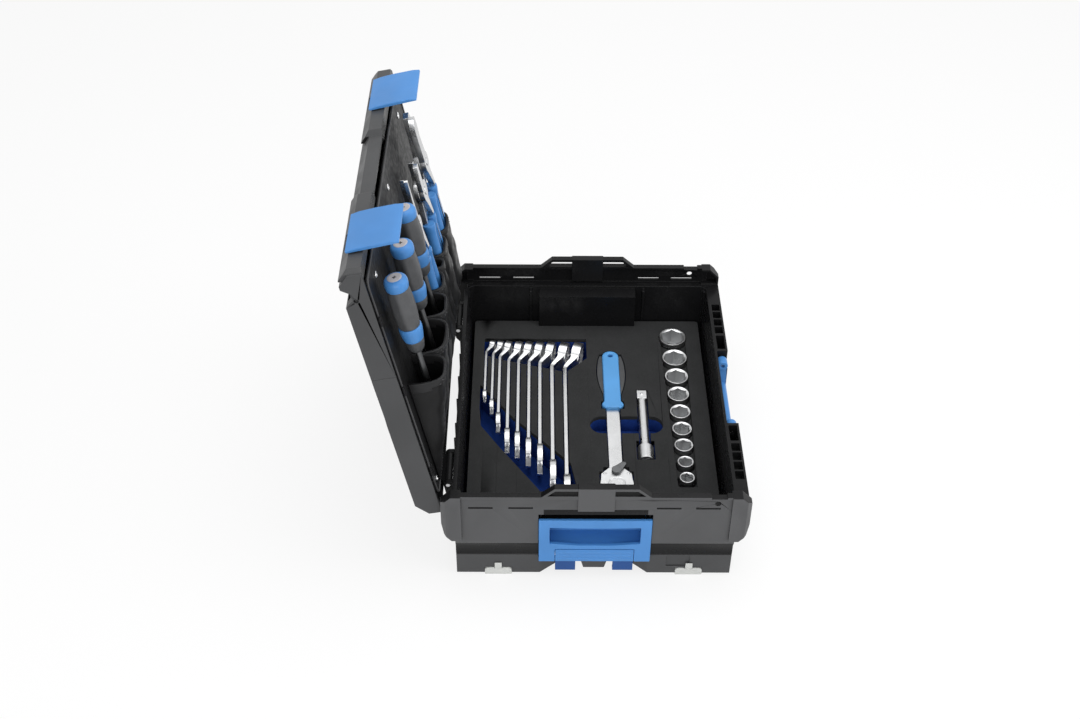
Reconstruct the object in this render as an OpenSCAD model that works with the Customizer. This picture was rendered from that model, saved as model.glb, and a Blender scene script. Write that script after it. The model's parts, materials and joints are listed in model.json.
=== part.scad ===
// Stackable tool case, opened. Combination wrenches, a ratchet, an extension bar and
// sockets stand in the foam of the base; screwdrivers and pliers in the lid's pockets.
// Frame: X along the hinge, latches towards -Y, Z up, origin on the floor at mid case.
// The lid is described closed and then turned open about the hinge.

/* [Case] */
// Length over the corner guards
case_l = 442; // [436:1:460]
// Width over the corner guards
case_w = 357; // [353:1:370]
// Height of the parting plane between base and lid
part_z = 113; // [110:0.5:120]
// Height of the raised end walls
rim_z = 137.5; // [135:0.5:142]
// Height of the stacking loops
loop_z = 151; // [148:0.5:156]
// Wall of the mouldings
wall = 3; // [2.5:0.1:3.4]
// Inward step from the parting plane to the floor, on the ends
draft_x = 9.8; // [8:0.1:11]
// Inward step from the parting plane to the floor, on the long sides
draft_y = 8; // [6:0.1:9]
// Height of the tub floor's underside
floor_z = 4; // [3:0.5:5]

/* [Lid] */
// Angle that the lid stands open
open_angle = 101.2; // [80:0.1:105]
// Depth of the lid above the parting plane
lid_h = 29; // [26:0.5:32]
// Gap between lid and base when shut
lid_gap = 0.5; // [0.3:0.1:1]
// Radius of the hinge pins
hinge_pin_r = 2.5; // [2:0.1:3]
// Width of a latch
latch_w = 68; // [60:1:72]
// Distance of a latch from the middle
latch_x = 139; // [137:0.5:140]
// Outward lean of a resting latch
latch_lean = 3; // [2.5:0.1:5]
// Thickness of the tool board
board_t = 2.5; // [2:0.1:3]

/* [Grips] */
// Width of the blue grip insert in each end
grip_w = 131; // [126:1:131]
// Lower and upper edge of the grip insert
grip_z = [30, 99.5];
// Width of the front handle over its knuckles
handle_w = 132; // [120:1:133]
// Pivot height of the front handle
handle_z = 99; // [96:0.5:102]

/* [Foam] */
// Height of the foam's upper face
foam_z = 60; // [58:0.5:64]
// Thickness of the dark upper layer
foam_skin = 6; // [4:0.5:8]
// Gap between foam and tub
foam_gap = 0.5; // [0.3:0.1:1.5]
// Gap between a tool and its cut-out
tool_gap = 1; // [0.6:0.1:1.4]
// Gap between neighbouring blocks of the foam
block_gap = 0.04; // [0.02:0.01:0.1]

/* [Tools] */
// Wrench sizes across flats
wrench_af = [8, 10, 13, 16, 17, 18, 19, 22, 24];
// Wrench lengths
wrench_len = [118, 139, 170, 204, 212, 225, 238, 271, 300];
// Places of the wrench shanks across the case
wrench_y = [136, 126.5, 117.5, 105.5, 92.5, 78.5, 64, 48, 31];
// End of the wrench row towards the ring ends
wrench_end_x = 151; // [148:0.5:152]
// Socket sizes across flats
socket_af = [27, 24, 22, 20, 19, 18, 17, 14, 13];
// Outer diameters of the sockets
socket_d = [35.5, 32.3, 30.2, 27.6, 25.8, 24.5, 23, 19.5, 18.2];
// Places of the sockets along the case
socket_x = [156, 113, 75.5, 40.5, 7, -25, -55, -84.5, -112];
// Place of the socket row across the case
socket_y = -116; // [-117:0.5:-114]
// Length of a socket
socket_len = 41; // [38:0.5:44]
// Width of the square drive
drive_w = 12.7; // [12.7:0.1:12.7]
// Length of the extension bar
bar_len = 127; // [125:0.5:132]
// Diameter of a screwdriver handle
driver_d = 27; // [25:0.5:29]

/* [Hidden] */

$fn = 48;
eps = 0.01;
black = "#2b2c2e";
blue = "#2f86d8";
fit = 0.05;                    // radial running clearance of the pins

// case stations, measured from the middle
guard_x = case_l / 2;
guard_y = case_w / 2;
rim_x = guard_x - 2;
rim_w = 8;
face_x = rim_x - 2;
low_x = face_x - 4.5;
tub_x = rim_x - 13;
tub_y = guard_y - 14;
floor_x = tub_x - draft_x;
floor_y = tub_y - draft_y;
floor_top = floor_z + wall;
skirt_z = 1.5;
step_z = 59;
band_z = 50;
groove_z = 35.4;
panel_y = 163;
guard_h = [part_z - 47, part_z - 37, part_z - 23];

// grip insert in each end
grip_y = grip_w / 2;
grip_face_x = rim_x + 0.5;
grip_t = 4;
port_y = grip_y + 0.5;
port_z = [grip_z[0], 107];
niche_y = grip_y - 3.5;
niche_x = guard_x - 35.5;
housing_x = niche_x - wall;
housing_y = niche_y + wall;
housing_z = part_z - 3;
lever_y = 46;
lever_x = face_x - 2.5;
lever_z = 40;
lever_top = 50;
lever_pin_r = 1.5;
hook_y = [22, 46];
hook_z = 12;
strip_z = 24;
tongue_y = 15.5;

// stacking loop on each end
loop_base = 63;
loop_top = 48;
loop_block = 21;

// front rail
rail_y = guard_y;
rail_t = 2.7;
rail_z = part_z - 27;
bracket = [handle_w / 2 + 2, handle_w / 2 + 36];
ladder_step = 15.75;
ladder = [bracket[1], bracket[1] + 4 * ladder_step];

// hinge
hinge_y = guard_y - 6.5;
hinge_z = part_z - 6.4;
knuckle_x = [120, 164];
knuckle_r = 5;
ear_t = 6;

// lid, closed
lid_x = tub_x - 0.4;
lid_low = part_z + lid_gap;
lid_top = part_z + lid_h;
lid_rear = guard_y;
lid_front = -(guard_y - 6);
house_front = -(guard_y - 0.9);
house_x = [58, lid_x - 4.6];
latch_pin_z = part_z + 15;
latch_pin_y = house_front + 4.2;
latch_pin_r = 1.6;
latch_face = -(guard_y + 0.1);
latch_t = 3.4;
latch_z = [part_z - 39, part_z + 18];
latch_arm = 13;
lidh_x = 68;
lidh_y = [-18, 14];
lidh_z = lid_top - 8.5;
tray_z = lid_top - 18;

// lid board and pockets, in lid stations: v from the hinge, w outwards from the parting plane
board_v = [14, hinge_y - lid_front - 14.5];
board_x = lid_x - 6.6;
board_w = 1;
pocket_v = [18, 168];
pocket_u = [-(lid_x - 27.6), lid_x - 51.6];
pocket_mid_v = 80;
pocket_mid = [22.5, 24, 25, 28, 28, 30, 30];
pocket_top = [42, 41, 38, 32, 30, 31, 31];
pocket_low = 4;
cloth = 2.5;
tool_w = -19;
divider_u = [-126, -62, -14, 30, 54, 103];

// tools lying in the foam
wrench_n = len(wrench_af);
ring_turn = 15;
ratchet_y = -30;
ratchet_head_x = -120;
ratchet_head_r = 20.5;
ratchet_z = [38, 60.5];
shank_w = 17;
shank_z = [46.5, 57];
shaft_z = 50;
handle_x = [15.6, 128];
ratchet_drive_r = 9;
lever_pivot_x = -99.5;
lever_turn = -40;
bar_y = -68.4;
bar_x = 49.6;
bar_z = 54;
bar_d = 12.4;
bar_head_d = 21;
slot_x = -15.6;
slot_w = 31;
slot_y = [-92.6, 0.3];
driver_u = [-159, -90, -30];
driver_top = [board_v[1] - 28, board_v[1] - 34, board_v[1] - 29];
driver_len = [102, 92, 96];
driver_blade = [109, 110, 120];
pump_u = 128;
comb_u = 79;
nose_u = 8;
pump_top = board_v[1] - 8;
comb_top = board_v[1] - 43;
nose_top = board_v[1] - 19;

// shared shapes

module plan(l, w, r) {
    square([l - 2 * r, w], center = true);
    square([l, w - 2 * r], center = true);
    for (sx = [-1, 1], sy = [-1, 1])
        translate([sx * (l / 2 - r), sy * (w / 2 - r)]) circle(r);
}

// profile drawn in Y and Z, run along X
module along_x(x0, x1) {
    translate([x0, 0, 0]) rotate([90, 0, 90]) linear_extrude(x1 - x0) children();
}

// profile drawn in X and Z, run along Y
module along_y(y0, y1) {
    translate([0, y1, 0]) rotate([90, 0, 0]) linear_extrude(y1 - y0) children();
}

module rod_x(x0, x1, y, z, r) {
    translate([x0, y, z]) rotate([0, 90, 0]) cylinder(r = r, h = x1 - x0);
}

module rod_y(y0, y1, x, z, r) {
    translate([x, y1, z]) rotate([90, 0, 0]) cylinder(r = r, h = y1 - y0);
}

module box(low, high) {
    translate(low) cube(high - low);
}

module both_x() {
    children();
    mirror([1, 0, 0]) children();
}

module both_y() {
    children();
    mirror([0, 1, 0]) children();
}

module drafted_block(bx, by, tx, ty, z0, z1, r) {
    intersection() {
        along_y(-2 * ty, 2 * ty) polygon([[-bx, z0], [bx, z0], [tx, z1], [-tx, z1]]);
        along_x(-2 * tx, 2 * tx) polygon([[-by, z0], [by, z0], [ty, z1], [-ty, z1]]);
        translate([0, 0, z0]) linear_extrude(z1 - z0) plan(2 * tx, 2 * ty, r);
    }
}

module lid_place() {
    translate([0, hinge_y, hinge_z]) rotate([-open_angle, 0, 0])
        translate([0, -hinge_y, -hinge_z]) children();
}

// lid stations to the closed lid: u stays X, v runs from the hinge, w up from the parting plane
module lid_station(u, v, w) {
    lid_place() translate([u, hinge_y - v, part_z + w]) children();
}

// base

module tub() {
    difference() {
        union() {
            difference() {
                drafted_block(floor_x, floor_y, tub_x, tub_y, floor_z, part_z, 14);
                translate([0, 0, wall]) drafted_block(floor_x - wall, floor_y - wall,
                    tub_x - wall, tub_y - wall, floor_z, part_z, 11);
            }
            both_x() box([housing_x, -housing_y, floor_z], [tub_x - 0.6, housing_y, housing_z]);
            // resting pad under the middle of the floor
            cylinder(r = 24, h = floor_z + 1);
        }
        both_x() box([niche_x, -niche_y, -eps], [guard_x, niche_y, port_z[1]]);
    }
}

// outline of an end wall, from the ledge of the tub up to the rim and down to the skirt
module end_profile() {
    polygon([[tub_x - wall, part_z - wall], [face_x - wall, part_z - wall], [face_x - wall, step_z],
             [low_x - wall, band_z], [low_x - wall - 1, skirt_z], [low_x - 1, skirt_z],
             [low_x, groove_z - 1.2], [low_x - 1.2, groove_z], [low_x, groove_z + 1.2],
             [low_x, band_z], [face_x, step_z], [face_x, rim_z - 3.5], [rim_x, rim_z - 3.5],
             [rim_x, rim_z], [rim_x - rim_w, rim_z], [rim_x - rim_w, rim_z - 3],
             [face_x - wall, rim_z - 3], [face_x - wall, part_z], [tub_x - wall, part_z]]);
}

module end_wall() {
    difference() {
        along_y(-panel_y, panel_y) end_profile();
        // ventilation slots
        for (y = [-128.5, -83.5, 86.5, 132.5])
            box([face_x - wall - 1, y - 14, part_z + 3.6], [guard_x, y + 14, part_z + 6.4]);
        // locating hole and rim notch on the front side
        rotate([0, 90, 0]) translate([-(rim_z - 11.5), -139, face_x - 6]) cylinder(r = 3.5, h = 12);
        box([rim_x - rim_w - 1, -149, rim_z - 2.4], [guard_x, -131, rim_z + 1]);
        // port of the grip insert and the cut-out below it
        box([low_x - wall - 3, -port_y, port_z[0]], [guard_x, port_y, port_z[1]]);
        along_x(low_x - wall - 3, guard_x)
            polygon([[-64, -1], [-64, skirt_z], [-40, strip_z], [40, strip_z], [64, skirt_z], [64, -1]]);
        // seats of the feet and a pocket beside the front one
        for (sy = [-1, 1])
            box([low_x - wall - 3, sy * foot_y - foot_l / 2, -1],
                [guard_x, sy * foot_y + foot_l / 2, foot_h]);
        box([low_x - 1.6, -114, foot_h + 3.5], [guard_x, -86, groove_z - 3]);
    }
    along_x(low_x - wall, low_x)
        polygon([[-tongue_y, strip_z], [-tongue_y + 3, hook_z], [tongue_y - 3, hook_z], [tongue_y, strip_z]]);
    // closing webs between end wall and tub
    for (y = [-panel_y, -port_y - 12, port_y + 9, panel_y - wall])
        box([floor_x - 2, y, floor_z], [low_x - wall + 0.5, y + wall, part_z - wall]);
    box([floor_x - 2, -tub_y + 4, floor_z], [tub_x, -tub_y + 4 + wall, part_z - wall]);
}

module stacking_loop() {
    difference() {
        along_x(rim_x - rim_w, rim_x)
            polygon([[-loop_base, rim_z - eps], [loop_base, rim_z - eps],
                     [loop_top, loop_z], [-loop_top, loop_z]]);
        both_y() along_x(rim_x - rim_w - 1, rim_x + 1)
            polygon([[loop_block, rim_z + 1.8], [loop_base - 7, rim_z + 1.8],
                     [loop_top - 1, loop_z - 4], [loop_block, loop_z - 4]]);
    }
    box([rim_x - rim_w - 1, -loop_block, part_z + 2], [guard_x - 1.2, loop_block, loop_z + 0.6]);
}

module corner_guard() {
    difference() {
        along_x(tub_x + 1, guard_x)
            polygon([[panel_y - 8, rim_z], [guard_y - 12, rim_z],
                [guard_y, rim_z - 12], [guard_y, guard_h[2]],
                     [guard_y - 3, guard_h[1]], [panel_y + 4, guard_h[0]], [panel_y - 8, guard_h[0]]]);
        along_x(tub_x, guard_x - wall)
            polygon([[panel_y - 9, rim_z - wall], [guard_y - 13, rim_z - wall],
                [guard_y - wall, rim_z - 13.5],
                     [guard_y - wall, part_z + 2], [panel_y - 9, part_z + 2]]);
        translate([guard_x, guard_y, 0]) rotate([0, 0, 45])
            box([-4, -10, 0], [10, 10, rim_z + 1]);
    }
}

module front_rail() {
    difference() {
        union() {
            box([bracket[0], -rail_y, rail_z - 4], [bracket[1], -floor_y, part_z]);
            box([ladder[0] - eps, -rail_y, rail_z], [tub_x + 2, -tub_y + 2, part_z]);
        }
        intersection() {
            box([0, -tub_y, 0], [case_l, tub_y, part_z + 1]);
            drafted_block(floor_x, floor_y - 1, tub_x, tub_y - 1, floor_z, part_z + eps, 14);
        }
        // bracket pocket, open at the top
        box([bracket[0] + 4, -rail_y + rail_t, rail_z], [bracket[1] - 3, -tub_y - 1, part_z + 1]);
        // ladder cells, open through
        for (i = [0:3])
            box([ladder[0] + 1.5 + i * ladder_step, -rail_y + rail_t, rail_z - 1],
                [ladder[0] + (i + 1) * ladder_step - 1, -tub_y - 1, part_z + 1]);
        box([ladder[1] + 3, -rail_y + rail_t, rail_z - 1], [tub_x - 4, -tub_y - 1, part_z - 3]);
        // bore of the front handle's pin
        rod_x(bracket[0] - 1, bracket[0] + 5, -handle_y, handle_z, handle_pin_r + fit);
    }
}

handle_y = guard_y - 7;
handle_pin_r = 2.5;
foot_y = 113.5;
foot_l = 32;
foot_h = 11;

module hinge_ear(x0, x1) {
    difference() {
        union() {
            rod_x(x0, x1, hinge_y, hinge_z, knuckle_r);
            along_x(x0, x1)
                polygon([[floor_y, hinge_z - 26], [tub_y - 1, hinge_z - 26], [hinge_y + 3, hinge_z - 12],
                         [hinge_y + knuckle_r, hinge_z], [hinge_y, hinge_z + knuckle_r],
                         [tub_y - 1, hinge_z + knuckle_r]]);
        }
        rod_x(x0 - 1, x1 + 1, hinge_y, hinge_z, hinge_pin_r + fit);
        drafted_block(floor_x - 1, floor_y - 1, tub_x - 1, tub_y - 1, floor_z, part_z + eps, 14);
    }
}

module back_rail() {
    box([-tub_x + 8, tub_y - 1.5, part_z - 5], [tub_x - 8, tub_y + 2, part_z]);
    both_x() {
        hinge_ear(knuckle_x[0] - 0.5 - ear_t, knuckle_x[0] - 0.5);
        hinge_ear(knuckle_x[1] + 0.5, knuckle_x[1] + 0.5 + ear_t);
        for (x = [20, 64, 90]) box([x, tub_y - 3, 40], [x + 2.5, tub_y + 4, part_z - 5]);
    }
}

module base_shell() {
    color(black) {
        tub();
        both_x() {
            end_wall();
            stacking_loop();
            both_y() corner_guard();
            front_rail();
        }
        back_rail();
    }
}

module feet() {
    color("#d9dcdf") both_x() both_y() {
        translate([0, foot_y, 0]) along_x(low_x - 14, low_x + 0.7)
            polygon([[-foot_l / 2, 0], [foot_l / 2, 0], [foot_l / 2, foot_h - 3],
                     [foot_l / 2 - 3, foot_h], [-foot_l / 2 + 3, foot_h], [-foot_l / 2, foot_h - 3]]);
        box([low_x, foot_y - 4.2, foot_h - eps], [low_x + 1.2, foot_y + 4.2, foot_h + 9]);
    }
}

module base_pins() {
    color("silver") both_x() {
        rod_x(knuckle_x[0] - ear_t, knuckle_x[1] + ear_t, hinge_y, hinge_z, hinge_pin_r);
        rod_x(handle_w / 2 - 9, bracket[0] + 4, -handle_y, handle_z, handle_pin_r);
        both_y() rod_y(lever_y - 8, lever_y + 6, lever_x, lever_z, lever_pin_r);
    }
}

module front_handle() {
    half = handle_w / 2;
    bar_low = handle_z - 45;
    color(blue) difference() {
        union() {
            both_x() {
                rod_x(half - 13, half, -handle_y, handle_z, 6.8);
                along_x(half - 12, half - 1)
                    polygon([[-handle_y - 6.4, handle_z], [-handle_y - 6.8, bar_low + 6],
                             [-handle_y + 4.5, bar_low + 6], [-handle_y + 5.8, handle_z]]);
            }
            translate([0, -handle_y - 1, bar_low + 7]) rotate([90, 0, 90])
                linear_extrude(handle_w - 2, center = true) plan(12.5, 20, 5.5);
        }
        both_x() rod_x(half - 14, half + 1, -handle_y, handle_z, handle_pin_r + fit);
    }
}

// blue insert with the finger recess
module side_grip() {
    back_x = niche_x + 4.5;
    front = grip_face_x;
    color(blue) difference() {
        union() {
            box([front - grip_t, -grip_y, grip_z[0]], [front, grip_y, grip_z[1]]);
            box([back_x, -grip_y + 7.5, lever_top + 3], [front - 1, grip_y - 7.5, grip_z[1] - 2.5]);
            // cheeks that carry the lever's pins
            both_y() box([lever_x - 4, lever_y + 0.5, grip_z[0] + 2],
                [front - 1, lever_y + 9, lever_top - 3]);
            // snap ears behind the end wall
            both_y() box([face_x - wall - 3, grip_y - 9.5, step_z + 2],
                [face_x - wall - 0.1, grip_y + 5, 92]);
        }
        // finger recess behind the bar
        box([back_x + 2.5, -grip_y + 11, lever_top + 5.5], [front - grip_t, grip_y - 11, grip_z[1] - 5]);
        along_x(front - grip_t - 1, front + 1)
            polygon([[-grip_y + 12.5, 60.5], [-20, 57.5], [20, 57.5], [grip_y - 12.5, 60.5],
                     [grip_y - 12.5, 87.5], [20, 86.5], [-20, 86.5], [-grip_y + 12.5, 87.5]]);
        // bay of the release lever
        box([lever_x - 5, -lever_y - 0.5, grip_z[0] - 1], [front + 1, lever_y + 0.5, lever_top + 1]);
        both_y() rod_y(lever_y, lever_y + 6.2, lever_x, lever_z, lever_pin_r + fit);
    }
}

// release lever with the two stacking hooks
module side_lever() {
    color(blue) difference() {
        union() {
            box([grip_face_x - 4, -lever_y, grip_z[0] + 0.5], [grip_face_x, lever_y, lever_top]);
            for (z = [34, 39.5, 45])
                box([grip_face_x - 1, -lever_y + 3, z], [grip_face_x + 0.6, lever_y - 3, z + 2]);
            both_y() {
                rod_y(lever_y - 12, lever_y, lever_x, lever_z, 3);
                box([low_x + 1.3, hook_y[0], hook_z], [low_x + 4.3, hook_y[1], grip_z[0] + 2]);
                box([low_x - 2, hook_y[0], hook_z], [low_x + 4.3, hook_y[1], hook_z + 3.2]);
            }
        }
        both_y() rod_y(lever_y - 8.2, lever_y + 1, lever_x, lever_z, lever_pin_r + fit);
    }
}

// foam and its cut-outs

function ring_d(af) = 1.5 * af + 1.5;
function shank_h(af) = 0.72 * af + 2;
function shank_t(af) = 1.9 + 0.12 * af;
function jaw_d(af) = 2.05 * af + 2;
function jaw_t(af) = 3 + 0.2 * af;
function ring_t(af) = 4.5 + 0.3 * af;
function crank(af) = 3.2 + 0.58 * af;
function wrench_mid(af) = foam_z + 1 - 0.36 * ring_d(af);

module wrench_cuts() {
    for (i = [0:wrench_n - 1]) {
        af = wrench_af[i];
        z0 = wrench_mid(af) - shank_h(af) / 2 - tool_gap;
        half = shank_t(af) / 2 + tool_gap;
        box([wrench_end_x - wrench_len[i], wrench_y[i] - half, z0],
            [wrench_end_x - ring_d(af), wrench_y[i] + half, foam_z + 1]);
    }
    // common well of the ring ends
    well_z = foam_z - 0.86 * ring_d(wrench_af[wrench_n - 1]) - 1;
    end = wrench_end_x + 3;
    translate([0, 0, well_z]) linear_extrude(foam_z)
        polygon([[end, wrench_y[0] + 3], [end, wrench_y[8] - crank(wrench_af[8]) - 12.5],
                 [end - 40, wrench_y[8] - crank(wrench_af[8]) - 12.5], [end - 66, wrench_y[8] - 4],
                 [end - 66, wrench_y[8] + 5], [end - 42, wrench_y[2] + 3], [end - 33, wrench_y[0] + 3]]);
    // common well of the open ends
    jaw_z = foam_z - 0.5 * jaw_d(wrench_af[wrench_n - 1]) - 16;
    translate([0, 0, jaw_z]) linear_extrude(foam_z)
        polygon([[60, wrench_y[0] + 6], [18, wrench_y[0] + 6], [-18, wrench_y[0] + 3], [-57, wrench_y[2] - 3],
                 [-127, 67.6], [-166, 44], [-166, 20], [-120, 20], [-85, 26], [-2, 99], [38, 126]]);
}

module ratchet_cuts() {
    g = tool_gap;
    // deep well of the head and its square
    translate([ratchet_head_x, ratchet_y, ratchet_z[0] - 18])
        cylinder(r = ratchet_head_r + g, h = foam_z);
    box([ratchet_head_x, ratchet_y - 20 - g, ratchet_z[0] - g],
        [ratchet_head_x + 19.5 + g, ratchet_y + 20 + g, foam_z + 1]);
    box([ratchet_head_x, ratchet_y - 15 - g, ratchet_z[0] - g],
        [ratchet_head_x + 27 + g, ratchet_y + 15 + g, foam_z + 1]);
    box([ratchet_head_x, ratchet_y - shank_w / 2 - g, shank_z[0] - g],
        [handle_x[0], ratchet_y + shank_w / 2 + g, foam_z + 1]);
    translate([0, ratchet_y, ratchet_z[0] - g]) linear_extrude(foam_z) handle_plan(g);
}

module foam_cuts() {
    wrench_cuts();
    ratchet_cuts();
    // extension bar
    box([bar_x - bar_len, bar_y - drive_w / 2 - tool_gap, bar_z - drive_w / 2 - tool_gap],
        [bar_x + tool_gap, bar_y + drive_w / 2 + tool_gap, foam_z + 1]);
    rod_x(bar_x - bar_len - tool_gap, bar_x - bar_len + 32, bar_y, bar_z, bar_head_d / 2 + tool_gap);
    box([bar_x - bar_len - tool_gap, bar_y - bar_head_d / 2 - tool_gap, bar_z],
        [bar_x - bar_len + 32, bar_y + bar_head_d / 2 + tool_gap, foam_z + 1]);
    // finger slot across ratchet and bar
    translate([slot_x, (slot_y[0] + slot_y[1]) / 2, foam_z - 26]) linear_extrude(foam_z)
        plan(slot_w, slot_y[1] - slot_y[0], slot_w / 2 - eps);
    // sockets and the shallow groove along them
    for (i = [0:8]) translate([socket_x[i], socket_y, foam_z + 2.5 - socket_len])
        cylinder(r = well_r(i), h = foam_z);
    translate([0, socket_y, foam_z - 5]) linear_extrude(foam_z)
        polygon([[socket_x[0], -17], [socket_x[8] - 14, -11.5], [socket_x[8] - 14, 11.5], [socket_x[0], 17]]);
}

// hair-thin cuts that part the foam into blocks around its wells
function well_r(i) = max(socket_d[i], 22.5) / 2 + tool_gap;
function seam_x(i) = (socket_x[i] - well_r(i) + socket_x[i + 1] + well_r(i + 1)) / 2;

module foam_seams() {
    socket_seam = slot_y[0] - 3.2;
    bar_seam = (ratchet_y - ratchet_head_r + bar_y + bar_head_d / 2) / 2;
    seam_y = concat([socket_y, socket_seam, bar_y, bar_seam, slot_y[1] + 0.55],
                    [for (i = [wrench_n - 1:-2:0]) wrench_y[i]]);
    for (y = seam_y) box([-tub_x, y, 0], [tub_x, y + block_gap, foam_z + 1]);
    for (i = [0:len(socket_x) - 2])
        box([seam_x(i), -tub_y, 0], [seam_x(i) + block_gap, socket_seam, foam_z + 1]);
    for (x = [bar_x - bar_len - tool_gap, bar_x - bar_len + 32])
        box([x, socket_seam, 0], [x + block_gap, bar_seam, foam_z + 1]);
}

module foam_block(z0, z1) {
    translate([0, 0, z0]) linear_extrude(z1 - z0) difference() {
        plan(2 * (floor_x - wall - foam_gap), 2 * (floor_y - wall - foam_gap), 4);
        for (s = [-1, 1]) translate([s * (housing_x + 20 - foam_gap), 0])
            square([40, 2 * (housing_y + foam_gap)], center = true);
    }
}

// zone of the ribs between neighbouring wrenches, its ends inside the two wells
module rib_zone() {
    first = wrench_y[wrench_n - 1];
    last = wrench_y[0];
    translate([0, 0, foam_z - foam_skin - 1]) linear_extrude(foam_skin + 2)
        polygon([[wrench_end_x - 251, first], [wrench_end_x - 121, last],
                 [wrench_end_x - 16, last], [wrench_end_x - 16, first]]);
}

module foam_top() {
    color("#3a3a3b") difference() {
        foam_block(foam_z - foam_skin, foam_z);
        foam_cuts();
        foam_seams();
        rib_zone();
    }
}

module foam_ribs() {
    color("#3a3a3b") difference() {
        intersection() {
            foam_block(foam_z - foam_skin, foam_z);
            rib_zone();
        }
        foam_cuts();
    }
}

module foam_base() {
    color("#2340a0") difference() {
        foam_block(floor_top, foam_z - foam_skin);
        foam_cuts();
        foam_seams();
    }
}

// lid

module lid_profile(front) {
    polygon([[lid_rear, lid_low], [lid_rear, lid_top - 13], [lid_rear - 15.2, lid_top],
             [front + 11.5, lid_top - 1.5], [front, lid_top - 13], [front, lid_low]]);
}

module lid_plan() {
    polygon([[lid_x, lid_rear + 1], [lid_x, 35], [lid_x - 1.4, 23], [lid_x - 1.4, house_front - 1],
             [-lid_x + 1.4, house_front - 1], [-lid_x + 1.4, 23], [-lid_x, 35], [-lid_x, lid_rear + 1]]);
}

module lid_shell_closed() {
    difference() {
        union() {
            difference() {
                intersection() {
                    along_x(-lid_x, lid_x) lid_profile(lid_front);
                    translate([0, 0, lid_low - 1]) linear_extrude(lid_h + 2) lid_plan();
                }
                // hollow behind the tool board
                box([-lid_x + 1.4 + wall, lid_front + wall, lid_low - 1],
                    [lid_x - 1.4 - wall, lid_rear - wall, lid_top - 13]);
                box([-lid_x + 1.4 + wall, lid_front + 15, lid_low - 1],
                    [lid_x - 1.4 - wall, lid_rear - 18, lid_top - wall]);
            }
            // latch housings on the front edge
            both_x() intersection() {
                along_x(house_x[0], house_x[1]) lid_profile(house_front);
                box([0, house_front - 1, lid_low], [case_l, lid_front + 8, lid_top]);
                translate([0, 0, lid_low - 1]) linear_extrude(lid_h + 2)
                    polygon([[house_x[0], lid_front + 9], [house_x[0], lid_front],
                             [house_x[0] + 6, house_front], [house_x[1] - 3, house_front],
                             [house_x[1], lid_front], [house_x[1], lid_front + 9]]);
            }
            // tray of the carrying handle
            box([-lidh_x - 12, lidh_y[0] - 11, tray_z - wall], [lidh_x + 12, lidh_y[1] + 11, lid_top - 1]);
            // board posts
            both_x() for (y = [-140, 0, 140])
                box([lid_x - 12, y - 6, part_z + board_w + board_t], [lid_x - 3, y + 6, lid_top - 2]);
            // hinge knuckles
            both_x() {
                rod_x(knuckle_x[0], knuckle_x[1], hinge_y, hinge_z, knuckle_r);
                box([knuckle_x[0], hinge_y - 4, hinge_z], [knuckle_x[1], hinge_y + 4.6, lid_low + 6]);
            }
        }
        both_x() rod_x(knuckle_x[0] - 1, knuckle_x[1] + 1, hinge_y, hinge_z, hinge_pin_r + fit);
        // recess of the handle tray
        box([-lidh_x - 9.5, lidh_y[0] - 8.5, tray_z], [lidh_x + 9.5, lidh_y[1] + 8.5, lid_top + 1]);
        both_x() rod_x(lidh_x - 1, lidh_x + 16, lidh_y[0], lidh_z, lidh_pin_r + fit);
        // grooves beside the housings, end dimples and a shallow panel on the outer face
        both_x() {
            along_x(lid_x - 42, lid_x + 1)
                polygon([[-150, lid_top - 10], [-141, lid_top - 10],
                    [-131, lid_top + 1], [-158, lid_top + 1]]);
            rod_x(lid_x - 5, lid_x + 1, -140, lid_top - 14, 2.6);
            box([lid_x - 1.9, -32.2, lid_low - 1], [lid_x + 1, -31.6, lid_top + 1]);
        }
        for (s = [-1, 1]) translate([s * 140, 8, lid_top - 1.6]) linear_extrude(4) plan(96, 230, 12);
        // latch bays
        both_x() box([latch_x - latch_arm - 0.6, house_front - 1, latch_pin_z - 6.5],
                     [latch_x + latch_arm + 0.6, latch_pin_y + 6, lid_top + 1]);
        both_x() rod_x(latch_x - latch_arm - 8, latch_x + latch_arm + 8,
                       latch_pin_y, latch_pin_z, latch_pin_r + fit);
    }
}
lidh_pin_r = 2;

module lid_shell() {
    color(black) lid_place() lid_shell_closed();
}

module tool_board() {
    color("#1d1d1f") lid_place()
        translate([0, hinge_y - (board_v[0] + board_v[1]) / 2, part_z + board_w - board_t + 1])
            linear_extrude(board_t) plan(2 * board_x, board_v[1] - board_v[0], 8);
}

module rivet(u, v) {
    lid_station(u, v, board_w - board_t + 1 - 1.1) cylinder(r = 4, h = 1.1);
}

module board_rivets() {
    color("silver") {
        for (u = [-(board_x - 41), 4, board_x - 41]) rivet(u, board_v[1] - 22);
        for (u = [-118, 36]) rivet(u, pocket_v[1] + 10);
        for (s = [-1, 1]) rivet(s * (board_x - 13), board_v[0] + 16);
    }
}

module board_clips() {
    color(black) for (s = [-1, 1], v = [55, 179, 278])
        lid_station(s * (board_x - 1.5), v, board_w - board_t + 1 - 2)
            translate([-4, -6, 0]) cube([8, 12, 2]);
}

// section of one pocket in v and w, and of the room in it
function pocket_outer(i) = [[pocket_v[0], 0], [pocket_v[1], 0], [pocket_v[1], -pocket_top[i]],
    [pocket_mid_v, -pocket_mid[i]], [pocket_v[0], -pocket_low]];
function pocket_inner(i) = [[pocket_v[0] + 14, -cloth], [pocket_v[1] + 1, -cloth],
    [pocket_v[1] + 1, -pocket_top[i] + cloth], [pocket_mid_v, -pocket_mid[i] + cloth],
    [pocket_v[0] + 14, -2 * pocket_low + cloth]];

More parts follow.
